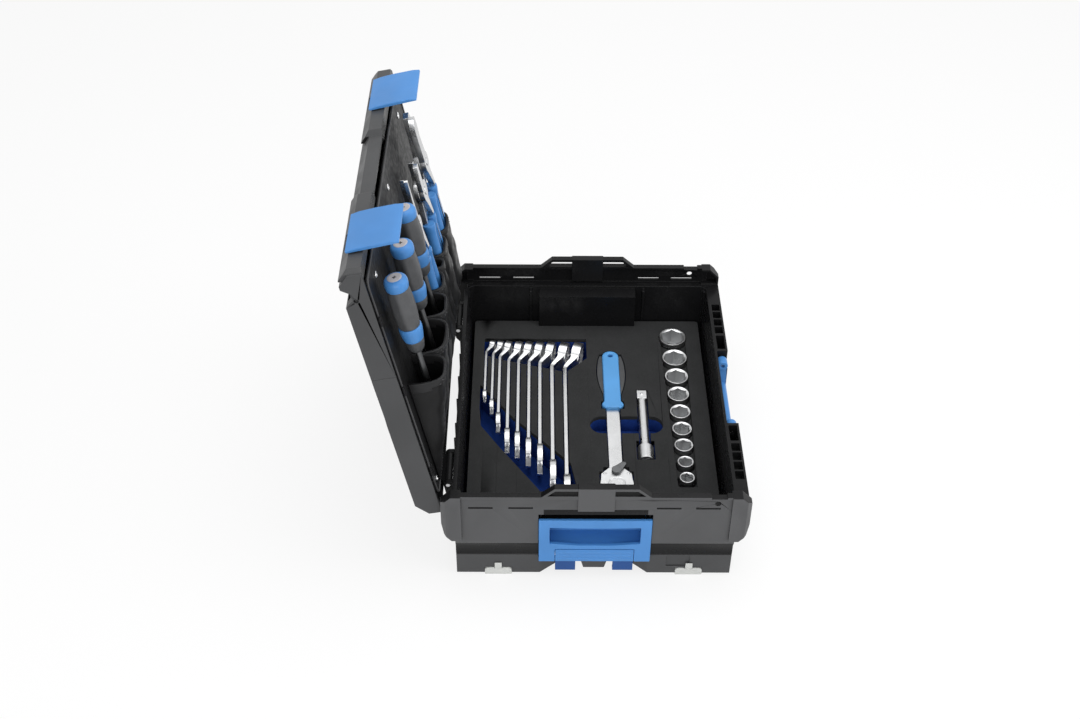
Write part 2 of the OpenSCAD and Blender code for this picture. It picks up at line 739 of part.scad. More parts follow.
// profile in v and w, run along u
module along_u(u0, u1) {
    lid_station(u0, 0, board_w - board_t + 1)
        rotate([90, 0, 90]) mirror([1, 0, 0]) linear_extrude(u1 - u0) children();
}

module pocket_row() {
    walls = concat([pocket_u[0]], divider_u, [pocket_u[1]]);
    last = len(walls) - 2;
    color("#202124") difference() {
        for (i = [0:last]) along_u(walls[i], walls[i + 1]) polygon(pocket_outer(i));
        for (i = [0:last])
            along_u(walls[i] + cloth / 2 + (i == 0 ? cloth / 2 : 0),
                    walls[i + 1] - cloth / 2 - (i == last ? cloth / 2 : 0))
                polygon(pocket_inner(i));
    }
}

module latch_closed() {
    difference() {
        union() {
            along_x(latch_x - latch_w / 2, latch_x + latch_w / 2)
                polygon([[latch_face, latch_z[1]], [latch_face - 2.2, latch_z[1] + 0.6],
                         [latch_face - latch_t - 0.4, latch_z[1] - 10],
                         [latch_face - latch_t - 0.9, part_z - 10],
                         [latch_face - latch_t - 0.4, latch_z[0] + 8], [latch_face - 2.4, latch_z[0]],
                         [latch_face, latch_z[0] - 0.6]]);
            // hook under the front rail
            along_x(latch_x - 24, latch_x + 24)
                polygon([[latch_face - 1, rail_z - 0.6], [latch_face + 1.6, rail_z - 0.8],
                         [latch_face + 1.6, rail_z - 2.6], [latch_face - 1, rail_z - 6]]);
            rod_x(latch_x - latch_arm, latch_x + latch_arm, latch_pin_y, latch_pin_z, 3.6);
            box([latch_x - latch_arm, latch_face - 1, latch_pin_z - 3],
                [latch_x + latch_arm, latch_pin_y, latch_pin_z + 3]);
        }
        rod_x(latch_x - latch_arm - 1, latch_x + latch_arm + 1, latch_pin_y, latch_pin_z, latch_pin_r + fit);
    }
}

module latch() {
    color(blue) lid_place() translate([0, latch_pin_y, latch_pin_z]) rotate([-latch_lean, 0, 0])
        translate([0, -latch_pin_y, -latch_pin_z]) latch_closed();
}

module latch_right() { latch(); }
module latch_left() { mirror([1, 0, 0]) latch(); }

module lid_pins() {
    color("silver") lid_place() both_x() {
        rod_x(latch_x - latch_arm - 7, latch_x + latch_arm + 7, latch_pin_y, latch_pin_z, latch_pin_r);
        rod_x(lidh_x - 8, lidh_x + 12, lidh_y[0], lidh_z, lidh_pin_r);
    }
}

module lid_handle() {
    mid_z = lidh_z;
    color(blue) lid_place() difference() {
        union() {
            both_x() {
                rod_x(lidh_x - 9, lidh_x + 8.5, lidh_y[0], mid_z, 5.5);
                box([lidh_x - 7, lidh_y[0], mid_z - 4.5], [lidh_x + 8.5, lidh_y[1] + 1, mid_z + 4.5]);
            }
            translate([0, lidh_y[1], mid_z]) rotate([90, 0, 90])
                linear_extrude(2 * lidh_x + 17, center = true) plan(15, 12, 5);
        }
        both_x() rod_x(lidh_x - 10, lidh_x + 10, lidh_y[0], mid_z, lidh_pin_r + fit);
    }
}

// wrench of index i, on its edge, ring end towards +X and turned fifteen degrees out of the shank

function neck_line(x0, x1, off, h0, h1, side) = [for (k = [0:8]) let (t = k / 8)
    [x0 + (x1 - x0) * t, off * t * t * (3 - 2 * t) + side * (h0 + (h1 - h0) * t)]];

module wrench(i) {
    af = wrench_af[i];
    ring = ring_d(af);
    jaw = jaw_d(af);
    ring_x = wrench_end_x - ring / 2;
    jaw_x = wrench_end_x - wrench_len[i] + jaw * 0.42;
    off = -crank(af);
    side_x = ring_x - ring * 0.3;
    neck = side_x - crank(af) * 1.15 - 5;
    side_off = off + ring * 0.08;
    color("#c9cdd0") translate([0, wrench_y[i], wrench_mid(af)]) difference() {
        union() {
            // shank, its broad side upright
            along_y(-shank_t(af) / 2, shank_t(af) / 2)
                polygon([[jaw_x, -jaw * 0.3], [jaw_x + jaw * 0.55, -shank_h(af) / 2],
                         [neck + 1, -shank_h(af) / 2], [neck + 1, shank_h(af) / 2],
                         [jaw_x + jaw * 0.55, shank_h(af) / 2], [jaw_x, jaw * 0.3]]);
            // curved neck, growing towards the ring
            intersection() {
                translate([0, 0, -ring]) linear_extrude(2 * ring) polygon(concat(
                    neck_line(neck, side_x, side_off, shank_t(af) / 2, ring_t(af) * 0.46, 1),
                    [[side_x + 1, side_off], [side_x + 1, side_off - 1]],
                    [for (k = [8:-1:0]) neck_line(neck, side_x, side_off,
                        shank_t(af) / 2, ring_t(af) * 0.46, -1)[k]]));
                along_y(-2 * ring, 2 * ring)
                    polygon([[neck - 1, -shank_h(af) / 2], [neck + 4, -shank_h(af) / 2],
                        [side_x, -ring * 0.36],
                             [side_x + 2, -ring * 0.36], [side_x + 2, ring * 0.36], [side_x, ring * 0.36],
                             [neck + 4, shank_h(af) / 2], [neck - 1, shank_h(af) / 2]]);
            }
            translate([ring_x, off, 0]) rotate([90, 0, -ring_turn])
                cylinder(r = ring / 2, h = ring_t(af), center = true);
            rod_y(-jaw_t(af) / 2, jaw_t(af) / 2, jaw_x, 0, jaw / 2);
        }
        // twelve point hole of the ring
        for (a = [0, 30]) translate([ring_x, off, 0]) rotate([90, 0, -ring_turn]) rotate([0, 0, a])
            cylinder(d = af / cos(30), h = 3 * ring_t(af), center = true, $fn = 6);
        // open jaw, turned fifteen degrees
        translate([jaw_x, 0, 0]) rotate([0, 15, 0]) {
            box([-jaw, -jaw_t(af), -af / 2], [0, jaw_t(af), af / 2]);
            rod_y(-jaw_t(af), jaw_t(af), 0, 0, af / 2);
        }
        translate([jaw_x - jaw * 0.46, 0, 0]) rotate([0, 15, 0])
            box([-jaw, -jaw_t(af), -jaw], [0, jaw_t(af), jaw]);
    }
}

module socket(i) {
    d = socket_d[i];
    foot = max(d, 22.5);
    z0 = foam_z + 3 - socket_len;
    color("#c9cdd0") translate([socket_x[i], socket_y, z0]) difference() {
        union() {
            cylinder(d = foot, h = 17);
            translate([0, 0, 17]) cylinder(d1 = foot, d2 = d, h = 4);
            cylinder(d = d, h = socket_len);
        }
        translate([0, 0, 19]) cylinder(d = socket_af[i] / cos(30), h = socket_len, $fn = 6);
        translate([0, 0, socket_len - 1.5]) cylinder(d1 = socket_af[i], d2 = d - 1.6, h = 1.6);
        translate([-drive_w / 2, -drive_w / 2, -1]) cube([drive_w, drive_w, 17]);
    }
}

// ratchet

module handle_plan(g) {
    core = 11 + g;
    bulge = 138.8 + g;
    translate([(handle_x[0] + handle_x[1]) / 2, 0])
        square([handle_x[1] - handle_x[0] + 2 * g - 24, 2 * core], center = true);
    translate([handle_x[1] - 12, 0]) circle(11.8 + g);
    translate([handle_x[0] - g, -14 - g]) square([12 + 2 * g, 28 + 2 * g]);
    intersection() {
        translate([86, -120.3]) circle(bulge, $fn = 180);
        translate([86, 120.3]) circle(bulge, $fn = 180);
        translate([30 - g, -30]) square([91 + 2 * g, 60]);
    }
}

module ratchet_body() {
    color("#c9cdd0") difference() {
        union() {
            translate([ratchet_head_x, ratchet_y, ratchet_z[0]])
                cylinder(r = ratchet_head_r, h = ratchet_z[1] - ratchet_z[0]);
            translate([0, ratchet_y, ratchet_z[0]]) linear_extrude(ratchet_z[1] - ratchet_z[0])
                polygon([[ratchet_head_x, -20], [ratchet_head_x + 16, -19],
                    [ratchet_head_x + 27, -shank_w / 2],
                         [ratchet_head_x + 27, shank_w / 2], [ratchet_head_x + 16, 19],
                             [ratchet_head_x, 20]]);
            box([ratchet_head_x + 20, ratchet_y - shank_w / 2, shank_z[0]],
                [handle_x[0], ratchet_y + shank_w / 2, shank_z[1]]);
            rod_x(handle_x[0] - 1, handle_x[1] - 30, ratchet_y, shaft_z, 5);
        }
        translate([ratchet_head_x, ratchet_y, ratchet_z[0] - 1]) cylinder(r = ratchet_drive_r, h = 9);
        translate([ratchet_head_x, ratchet_y, ratchet_z[1] - 1.2]) cylinder(r = 10.2, h = 3);
        translate([lever_pivot_x, ratchet_y, ratchet_z[1] - 4]) cylinder(r = 3 + fit, h = 5);
        for (s = [-1, 1]) translate([ratchet_head_x + 17, ratchet_y + s * 14.5, ratchet_z[1] - 1.5])
            cylinder(r = 1.6, h = 3);
    }
}

module ratchet_cover() {
    color("#b9bdc0") translate([ratchet_head_x, ratchet_y, ratchet_z[1] - 1.2]) difference() {
        cylinder(r = 10, h = 1.6);
        translate([0, 0, 1.1]) difference() {
            cylinder(r = 8.6, h = 1);
            translate([0, 0, -1]) cylinder(r = 7.4, h = 3);
        }
    }
}

module ratchet_lever() {
    color("#6c7074") translate([lever_pivot_x, ratchet_y, ratchet_z[1]]) {
        translate([0, 0, -3.5]) cylinder(r = 3, h = 4);
        rotate([0, 0, lever_turn]) translate([0, 0, 0.4]) {
            cylinder(r = 6, h = 3.4);
            linear_extrude(2.8) polygon([[0, -6], [14, -3.4], [14, 3.4], [0, 6]]);
            translate([14, 0, 0]) cylinder(r = 3.4, h = 2.8);
        }
    }
}

module ratchet_drive() {
    color("#c9cdd0") translate([ratchet_head_x, ratchet_y, 0]) {
        translate([0, 0, ratchet_z[0] - 1.5]) cylinder(r = ratchet_drive_r - fit, h = 9);
        translate([-drive_w / 2 + 0.1, -drive_w / 2 + 0.1, ratchet_z[0] - 16])
            cube([drive_w - 0.2, drive_w - 0.2, 15]);
        translate([drive_w / 2 - 1.2, 0, ratchet_z[0] - 9]) sphere(r = 2.2, $fn = 24);
    }
}

module ratchet_handle() {
    color(blue) difference() {
        translate([0, ratchet_y, ratchet_z[0] + 1])
            linear_extrude(ratchet_z[1] - ratchet_z[0] + 0.5) difference() {
            union() {
                translate([handle_x[0] + 6, -11]) square([handle_x[1] - handle_x[0] - 18, 22]);
                translate([handle_x[1] - 12, 0]) circle(11);
                translate([handle_x[0], -10]) square([14, 20]);
                for (s = [-1, 1]) translate([handle_x[0] + 6, s * 8]) circle(6);
            }
            translate([handle_x[1] - 10, 0]) circle(3);
        }
        rod_x(handle_x[0] - 2, handle_x[1] - 29.9, ratchet_y, shaft_z, 5.02);
    }
}

module ratchet_grip() {
    color("#4b4e52") translate([0, ratchet_y, ratchet_z[0] + 3])
        linear_extrude(ratchet_z[1] - ratchet_z[0] - 4)
        difference() {
            intersection() {
                translate([86, -120.3]) circle(138.8, $fn = 180);
                translate([86, 120.3]) circle(138.8, $fn = 180);
                translate([31, -30]) square([88, 60]);
            }
            square([400, 22.1], center = true);
        }
}

module extension_bar() {
    x1 = bar_x - bar_len;
    color("#c9cdd0") difference() {
        union() {
            rod_x(x1 + 28, bar_x - 14, bar_y, bar_z, bar_d / 2);
            box([bar_x - 15, bar_y - drive_w / 2 + 0.1, bar_z - drive_w / 2 + 0.1],
                [bar_x, bar_y + drive_w / 2 - 0.1, bar_z + drive_w / 2 - 0.1]);
            rod_x(x1, x1 + 24, bar_y, bar_z, bar_head_d / 2);
            translate([x1 + 24, bar_y, bar_z])
                rotate([0, 90, 0]) cylinder(d1 = bar_head_d, d2 = bar_d, h = 4);
            translate([bar_x - 7, bar_y, bar_z + drive_w / 2 - 1]) sphere(r = 2.2, $fn = 24);
        }
        box([x1 - 1, bar_y - drive_w / 2, bar_z - drive_w / 2],
            [x1 + 15, bar_y + drive_w / 2, bar_z + drive_w / 2]);
    }
}

// tools in the lid

module driver_station(i) {
    lid_station(driver_u[i], driver_top[i], tool_w) rotate([-90, 0, 0]) children();
}

module screwdriver_handle(i) {
    l = driver_len[i];
    color("#55585c") driver_station(i) difference() {
        rotate_extrude() polygon([[0, 0], [driver_d / 2 - 5.5, 0], [driver_d / 2 - 2, 1.6],
            [driver_d / 2 - 0.3, 5.5], [driver_d / 2 - 0.4, 10], [driver_d / 2 - 1.2, 14],
            [driver_d / 2 + 0.1, l * 0.42], [driver_d / 2 - 1.6, l * 0.645],
            [driver_d / 2 - 0.4, l * 0.69], [driver_d / 2 - 2.4, l * 0.83],
            [driver_d / 2 - 4.2, l * 0.94], [5, l], [0, l]]);
        translate([0, 0, 40]) cylinder(r = 3.5, h = l);
        translate([0, 0, -1]) cylinder(r = 3, h = 3);
    }
}

module screwdriver_blade(i) {
    l = driver_blade[i];
    color("#c9cdd0") driver_station(i) {
        translate([0, 0, 40]) cylinder(r = 3.5, h = driver_len[i] - 40 + l - 14);
        translate([0, 0, driver_len[i] + l - 14]) cylinder(r1 = 3.5, r2 = 1.4, h = 14);
    }
}

// pliers lie flat on the board, top of the head at the origin of their plan, handles towards -Y
module pliers_station(u, top) {
    lid_station(u, top, tool_w) rotate([0, 0, 180]) children();
}

// stations of each pair: jaw outline, pivot, length, offset of the handle, joint radius, thickness
pump = [[[-9, 0], [1, -2], [3, -14], [1, -30], [10, -73], [-10, -73], [-15, -28], [-14, -10]],
        66, 236, 11, 13, 7, 5];
combination = [[[-1, 0], [-8, -2], [-13, -14], [-14, -30], [-8, -47], [8, -47], [4, -30], [-0.6, -26]],
               40, 186, 10, 14, 6, 5];
long_nose = [[[-0.6, 0], [-3, -1], [-9, -52], [-9, -68], [8, -68], [1, -52]], 62, 196, 9, 11, 5, 4];

module pliers_half(p, side) {
    pivot = p[1];
    len = p[2];
    spread = p[3];
    r = p[4];
    mirror([side < 0 ? 1 : 0, 0, 0]) translate([0, 0, side * (p[5] / 2 + 0.05)]) difference() {
        union() {
            linear_extrude(p[5], center = true) polygon(p[0]);
            translate([0, -pivot, 0]) cylinder(r = r, h = p[5], center = true);
            linear_extrude(p[5], center = true)
                polygon([[-r * 0.8, -pivot - 6.5], [r * 0.4, -pivot - 6.5], [spread + 3, -pivot - 38],
                         [spread + 3, -len + 4], [spread - 2, -len + 2], [spread - 2.5, -pivot - 40]]);
        }
        if (side < 0) translate([0, -pivot, 0]) cylinder(r = p[6] + fit, h = 2 * p[5], center = true);
    }
    if (side > 0) translate([0, -pivot, 0]) cylinder(r = p[6], h = 2 * p[5] + 1.6, center = true);
}

module pliers_sleeves(p) {
    pivot = p[1];
    len = p[2];
    spread = p[3];
    z = p[5] / 2 + 0.05;
    for (side = [-1, 1]) mirror([side < 0 ? 1 : 0, 0, 0]) difference() {
        translate([spread + 0.5, -(pivot + 42 + len) / 2, 0]) rotate([90, 0, 0])
            linear_extrude(len - pivot - 42, center = true) plan(12.5, 15, 5.5);
        translate([0, 0, side * z]) linear_extrude(p[5], center = true)
            polygon([[spread + 3, -pivot - 38], [spread + 3, -len + 4], [spread - 2, -len + 2],
                     [spread - 2.5, -pivot - 40]]);
    }
}

module pump_pliers_left() { color("#c9cdd0") pliers_station(pump_u, pump_top) pliers_half(pump, 1); }
module pump_pliers_right() { color("#c9cdd0") pliers_station(pump_u, pump_top) pliers_half(pump, -1); }
module pump_pliers_sleeves() { color(blue) pliers_station(pump_u, pump_top) pliers_sleeves(pump); }
module combination_pliers_left() {
    color("#c9cdd0") pliers_station(comb_u, comb_top) pliers_half(combination, 1);
}
module combination_pliers_right() {
    color("#c9cdd0") pliers_station(comb_u, comb_top) pliers_half(combination, -1);
}
module combination_pliers_sleeves() {
    color(blue) pliers_station(comb_u, comb_top) pliers_sleeves(combination);
}
module long_nose_pliers_left() {
    color("#c9cdd0") pliers_station(nose_u, nose_top) pliers_half(long_nose, 1);
}
module long_nose_pliers_right() {
    color("#c9cdd0") pliers_station(nose_u, nose_top) pliers_half(long_nose, -1);
}
module long_nose_pliers_sleeves() {
    color(blue) pliers_station(nose_u, nose_top) pliers_sleeves(long_nose);
}

base_shell();
feet();
base_pins();
front_handle();
side_grip();  // side_grip_right
mirror([1, 0, 0]) side_grip();  // side_grip_left
side_lever();  // side_lever_right
mirror([1, 0, 0]) side_lever();  // side_lever_left
foam_top();
foam_ribs();
foam_base();
lid_shell();
tool_board();
board_rivets();
board_clips();
pocket_row();
latch_left();
latch_right();
lid_pins();
lid_handle();
ratchet_body();
ratchet_handle();
ratchet_grip();
ratchet_lever();
ratchet_cover();
ratchet_drive();
extension_bar();
pump_pliers_left();
pump_pliers_right();
pump_pliers_sleeves();
combination_pliers_left();
combination_pliers_right();
combination_pliers_sleeves();
long_nose_pliers_left();
long_nose_pliers_right();
long_nose_pliers_sleeves();
for (i = [1:9]) wrench(i - 1);
for (i = [1:9]) socket(i - 1);
for (i = [1:3]) screwdriver_handle(i - 1);
for (i = [1:3]) screwdriver_blade(i - 1);
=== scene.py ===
import json
import math

import bpy
from mathutils import Matrix, Vector

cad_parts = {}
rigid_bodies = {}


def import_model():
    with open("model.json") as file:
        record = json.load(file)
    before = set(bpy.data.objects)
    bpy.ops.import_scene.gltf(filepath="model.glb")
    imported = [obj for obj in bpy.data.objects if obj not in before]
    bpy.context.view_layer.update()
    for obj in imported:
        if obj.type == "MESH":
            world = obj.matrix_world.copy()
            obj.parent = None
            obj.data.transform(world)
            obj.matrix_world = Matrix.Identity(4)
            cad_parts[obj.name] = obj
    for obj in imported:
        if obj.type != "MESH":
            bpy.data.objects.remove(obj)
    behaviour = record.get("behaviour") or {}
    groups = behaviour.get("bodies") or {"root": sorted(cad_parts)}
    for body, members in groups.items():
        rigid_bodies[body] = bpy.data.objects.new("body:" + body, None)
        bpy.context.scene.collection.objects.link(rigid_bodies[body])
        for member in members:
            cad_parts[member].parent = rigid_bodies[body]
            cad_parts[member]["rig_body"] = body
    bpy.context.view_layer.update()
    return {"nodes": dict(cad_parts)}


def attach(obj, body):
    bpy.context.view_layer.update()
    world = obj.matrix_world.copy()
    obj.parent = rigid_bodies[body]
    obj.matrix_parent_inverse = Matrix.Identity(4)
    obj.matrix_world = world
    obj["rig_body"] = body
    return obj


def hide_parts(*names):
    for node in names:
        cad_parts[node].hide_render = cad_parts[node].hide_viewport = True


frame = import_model()
mm = 0.001
# vertices nearer than this are one, in mm
weld = dict(solid=0.004, drawn=0.01, seam=0.012)
print("frame loaded:", len(frame["nodes"]), "nodes")

# hand tools for modelling


def clearPicks():
    if bpy.context.object and bpy.context.object.mode != "OBJECT":
        bpy.ops.object.mode_set(mode="OBJECT")
    bpy.ops.object.select_all(action="DESELECT")


def pick(*pieces):
    clearPicks()
    for piece in pieces:
        piece.select_set(True)
    bpy.context.view_layer.objects.active = pieces[0]


def editMode(piece, kind="VERT", everything=True):
    pick(piece)
    bpy.ops.object.mode_set(mode="EDIT")
    bpy.ops.mesh.select_mode(type=kind)
    bpy.ops.mesh.select_all(action="SELECT" if everything else "DESELECT")


def objectMode():
    bpy.ops.object.mode_set(mode="OBJECT")


def applyModifiers(piece):
    pick(piece)
    for modifier in list(piece.modifiers):
        bpy.ops.object.modifier_apply(modifier=modifier.name)


def fixPlace(piece, matrix):
    # the piece keeps its place in its mesh
    piece.matrix_world = matrix
    bpy.context.view_layer.update()
    pick(piece)
    bpy.ops.object.transform_apply(location=True, rotation=True, scale=True)


def bevelPiece(piece, width, segments, angle):
    bevel = piece.modifiers.new("edge", "BEVEL")
    bevel.width = width * mm
    bevel.segments = segments
    bevel.limit_method = "ANGLE"
    bevel.angle_limit = math.radians(angle)
    bevel.use_clamp_overlap = False
    bevel.miter_outer = "MITER_ARC" if segments > 1 else "MITER_SHARP"
    applyModifiers(piece)


def smoothPiece(piece, angle):
    pick(piece)
    bpy.ops.object.shade_smooth_by_angle(angle=math.radians(angle))


def outwards(piece):
    editMode(piece)
    bpy.ops.mesh.remove_doubles(threshold=weld["drawn"] * mm)
    bpy.ops.mesh.normals_make_consistent(inside=False)
    objectMode()


def finishPiece(piece, name, body, finish, stands=()):
    piece.name = name
    piece.data.name = name
    piece.data.materials.clear()
    piece.data.materials.append(finish)
    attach(piece, body)
    if stands:
        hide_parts(*stands)
    return piece


def ownCopy(piece, name):
    twin = piece.copy()
    twin.data = piece.data.copy()
    twin.name = name
    bpy.context.scene.collection.objects.link(twin)
    return twin


# the open lid: u along the hinge, v up from the hinge, h out of the board towards the tools

lid = dict(hingeY=172.0, hingeZ=106.6, plane=6.4, openAngle=101.2)
lean = math.radians(lid["openAngle"])
lidMatrix = Matrix((
    (1, 0, 0, 0),
    (0, -math.cos(lean), -math.sin(lean), (lid["hingeY"] + lid["plane"] * math.sin(lean)) * mm),
    (0, math.sin(lean), -math.cos(lean), (lid["hingeZ"] + lid["plane"] * math.cos(lean)) * mm),
    (0, 0, 0, 1)))


def onLid(u, v, h, turn=None):
    place = lidMatrix @ Matrix.Translation(Vector((u, v, h)) * mm)
    return place @ turn if turn else place


# camera high over the near end of the open case

camera = dict(place=(-1.38876, 0.07054, 1.35125), yaw=0.253, pitch=40.73, roll=0.371, lens=49.351,
              sensor=36, nearest=0.05)


def makeCamera():
    yaw, pitch, roll = (math.radians(camera[k]) for k in ("yaw", "pitch", "roll"))
    forward = Vector((math.cos(yaw) * math.cos(pitch), -math.sin(yaw) * math.cos(pitch), -math.sin(pitch)))
    level = forward.cross(Vector((0, 0, 1))).normalized()
    upright = level.cross(forward)
    right = math.cos(roll) * level + math.sin(roll) * upright
    up = math.cos(roll) * upright - math.sin(roll) * level
    lensData = bpy.data.cameras.new("camera")
    lensData.lens = camera["lens"]
    lensData.sensor_width = camera["sensor"]
    lensData.clip_start = camera["nearest"]
    eye = bpy.data.objects.new("camera", lensData)
    eye.matrix_world = Matrix((
        (right.x, up.x, -forward.x, camera["place"][0]),
        (right.y, up.y, -forward.y, camera["place"][1]),
        (right.z, up.z, -forward.z, camera["place"][2]),
        (0, 0, 0, 1)))
    bpy.context.scene.collection.objects.link(eye)
    bpy.context.scene.camera = eye


studio = dict(key=20.0, side=9.0, front=14.0, ambient=0.55, floorSize=14.0, floorWhite=0.9, floorGlow=0.8)


def softBox(name, power, size, place, aim):
    lamp = bpy.data.lights.new(name, "AREA")
    lamp.shape = "RECTANGLE"
    lamp.size, lamp.size_y = size
    lamp.energy = power
    holder = bpy.data.objects.new(name, lamp)
    holder.location = place
    look = Vector(aim) - Vector(place)
    holder.rotation_euler = look.to_track_quat("-Z", "Y").to_euler()
    bpy.context.scene.collection.objects.link(holder)


def makeStudio():
    softBox("overhead", studio["key"], (1.8, 1.5), (0.1, -0.1, 1.9), (0, 0, 0.1))
    softBox("side", studio["side"], (1.2, 1.2), (-0.3, -1.7, 1.0), (0, 0, 0.15))
    softBox("front", studio["front"], (1.6, 1.0), (-1.9, 0.2, 0.9), (0, 0.05, 0.15))
    world = bpy.data.worlds.new("studio")
    bpy.context.scene.world = world
    world.use_nodes = True
    tree = world.node_tree
    air = tree.nodes["Background"]
    air.inputs["Color"].default_value = (1, 1, 1, 1)
    strength = seenOrLit(tree, studio["ambient"], 1.0)
    tree.links.new(strength, air.inputs["Strength"])

    bpy.ops.mesh.primitive_plane_add(size=studio["floorSize"], location=(0, 0, 0))
    ground = bpy.context.object
    ground.name = "floor"
    paper = bpy.data.materials.new("paper floor")
    paper.use_nodes = True
    tree = paper.node_tree
    tree.nodes.clear()
    out = tree.nodes.new("ShaderNodeOutputMaterial")
    matt = tree.nodes.new("ShaderNodeBsdfDiffuse")
    matt.inputs["Color"].default_value = (*[studio["floorWhite"]] * 3, 1)
    glow = tree.nodes.new("ShaderNodeEmission")
    blend = tree.nodes.new("ShaderNodeMixShader")
    tree.links.new(seenOrLit(tree, 0.0, studio["floorGlow"]), blend.inputs[0])
    tree.links.new(matt.outputs[0], blend.inputs[1])
    tree.links.new(glow.outputs[0], blend.inputs[2])
    tree.links.new(blend.outputs[0], out.inputs["Surface"])
    ground.data.materials.append(paper)


def seenOrLit(tree, lit, seen):
    # one value where the camera, metal or glass sees it, another where it lights the object
    ray = tree.nodes.new("ShaderNodeLightPath")
    first = tree.nodes.new("ShaderNodeMath")
    first.operation = "MAXIMUM"
    tree.links.new(ray.outputs["Is Camera Ray"], first.inputs[0])
    tree.links.new(ray.outputs["Is Glossy Ray"], first.inputs[1])
    second = tree.nodes.new("ShaderNodeMath")
    second.operation = "MAXIMUM"
    tree.links.new(first.outputs[0], second.inputs[0])
    tree.links.new(ray.outputs["Is Transmission Ray"], second.inputs[1])
    spread = tree.nodes.new("ShaderNodeMapRange")
    spread.inputs["To Min"].default_value = lit
    spread.inputs["To Max"].default_value = seen
    tree.links.new(second.outputs[0], spread.inputs["Value"])
    return spread.outputs["Result"]


makeCamera()
makeStudio()
print("camera and studio set")

# finishes


def newFinish(name, colour, roughness, metal=0.0):
    finish = bpy.data.materials.new(name)
    finish.use_nodes = True
    finish.diffuse_color = (*colour, 1)
    shader = finish.node_tree.nodes["Principled BSDF"]
    shader.inputs["Base Color"].default_value = (*colour, 1)
    shader.inputs["Roughness"].default_value = roughness
    shader.inputs["Metallic"].default_value = metal
    return finish, finish.node_tree, shader


def noiseOn(tree, scale, detail=4.0, stretch=(1, 1, 1)):
    place = tree.nodes.new("ShaderNodeTexCoord")
    sizes = tree.nodes.new("ShaderNodeMapping")
    sizes.inputs["Scale"].default_value = stretch
    noise = tree.nodes.new("ShaderNodeTexNoise")
    noise.inputs["Scale"].default_value = scale
    noise.inputs["Detail"].default_value = detail
    tree.links.new(place.outputs["Object"], sizes.inputs["Vector"])
    tree.links.new(sizes.outputs["Vector"], noise.inputs["Vector"])
    return noise.outputs["Fac"]


def cellsOn(tree, scale, feature="F1", smooth=0.0):
    place = tree.nodes.new("ShaderNodeTexCoord")
    cells = tree.nodes.new("ShaderNodeTexVoronoi")
    cells.feature = feature
    cells.inputs["Scale"].default_value = scale
    if feature == "SMOOTH_F1":
        cells.inputs["Smoothness"].default_value = smooth
    tree.links.new(place.outputs["Object"], cells.inputs["Vector"])
    return cells.outputs["Distance"]


def spreadOf(tree, value, low, high, fromLow=0.35, fromHigh=0.65):
    spread = tree.nodes.new("ShaderNodeMapRange")
    spread.inputs["From Min"].default_value = fromLow
    spread.inputs["From Max"].default_value = fromHigh
    spread.inputs["To Min"].default_value = low
    spread.inputs["To Max"].default_value = high
    tree.links.new(value, spread.inputs["Value"])
    return spread.outputs["Result"]


def twoTone(tree, factor, first, second):
    mix = tree.nodes.new("ShaderNodeMix")
    mix.data_type = "RGBA"
    mix.inputs["A"].default_value = (*first, 1)
    mix.inputs["B"].default_value = (*second, 1)
    tree.links.new(factor, mix.inputs["Factor"])
    return mix.outputs["Result"]


def toneOver(tree, factor, under, colour):
    # the colour shows through the tone under it where the factor is high
    mix = tree.nodes.new("ShaderNodeMix")
    mix.data_type = "RGBA"
    mix.inputs["B"].default_value = (*colour, 1)
    tree.links.new(factor, mix.inputs["Factor"])
    tree.links.new(under, mix.inputs["A"])
    return mix.outputs["Result"]


def grain(tree, shader, height, strength, depth, under=None):
    bump = tree.nodes.new("ShaderNodeBump")
    bump.inputs["Strength"].default_value = strength
    bump.inputs["Distance"].default_value = depth * mm
    tree.links.new(height, bump.inputs["Height"])
    if under:
        tree.links.new(under, bump.inputs["Normal"])
    tree.links.new(bump.outputs["Normal"], shader.inputs["Normal"])
    return bump.outputs["Normal"]


def shade(colour, factor):
    return tuple(min(1.0, c * factor) for c in colour)


def mouldedPlastic(name, colour, roughness, grainSize=0.5, grainDepth=0.05, strength=0.35,
                   edgeHighlight=1.25, gloss=0.3):
    # fine spark-eroded grain, faint flow clouds, and a painted highlight that lightens the sharp edges
    finish, tree, shader = newFinish(name, colour, roughness)
    shader.inputs["Specular IOR Level"].default_value = gloss
    clouds = noiseOn(tree, 14, 3)
    body = twoTone(tree, spreadOf(tree, clouds, 0, 1), shade(colour, 0.93), shade(colour, 1.07))
    surface = tree.nodes.new("ShaderNodeNewGeometry")
    # painted highlight: sharp edges, found by pointiness, are lightened as if catching the light
    paintedEdgeHighlight = spreadOf(tree, surface.outputs["Pointiness"], 0, 1, 0.52, 0.60)
    tree.links.new(toneOver(tree, paintedEdgeHighlight, body, shade(colour, edgeHighlight)), shader.inputs["Base Color"])
    tree.links.new(spreadOf(tree, noiseOn(tree, 55, 5), roughness - 0.05, roughness + 0.07),
                   shader.inputs["Roughness"])
    grain(tree, shader, noiseOn(tree, 1000 / grainSize, 2), strength, grainDepth)
    return finish


def foamSkin(name, colour, cellSize, depth, speckle):
    # closed cells: tiny dimples, a few paler ones
    finish, tree, shader = newFinish(name, colour, 0.9)
    cells = cellsOn(tree, 1000 / cellSize)
    clouds = noiseOn(tree, 30, 4)
    pale = twoTone(tree, spreadOf(tree, clouds, 0, 1), shade(colour, 0.9), shade(colour, 1.1))
    dots = spreadOf(tree, cells, 0, 0.7, 0.45, 0.9)
    tree.links.new(toneOver(tree, dots, pale, shade(colour, speckle)), shader.inputs["Base Color"])
    shader.inputs["Specular IOR Level"].default_value = 0.1
    grain(tree, shader, cells, 0.6, depth)
    return finish


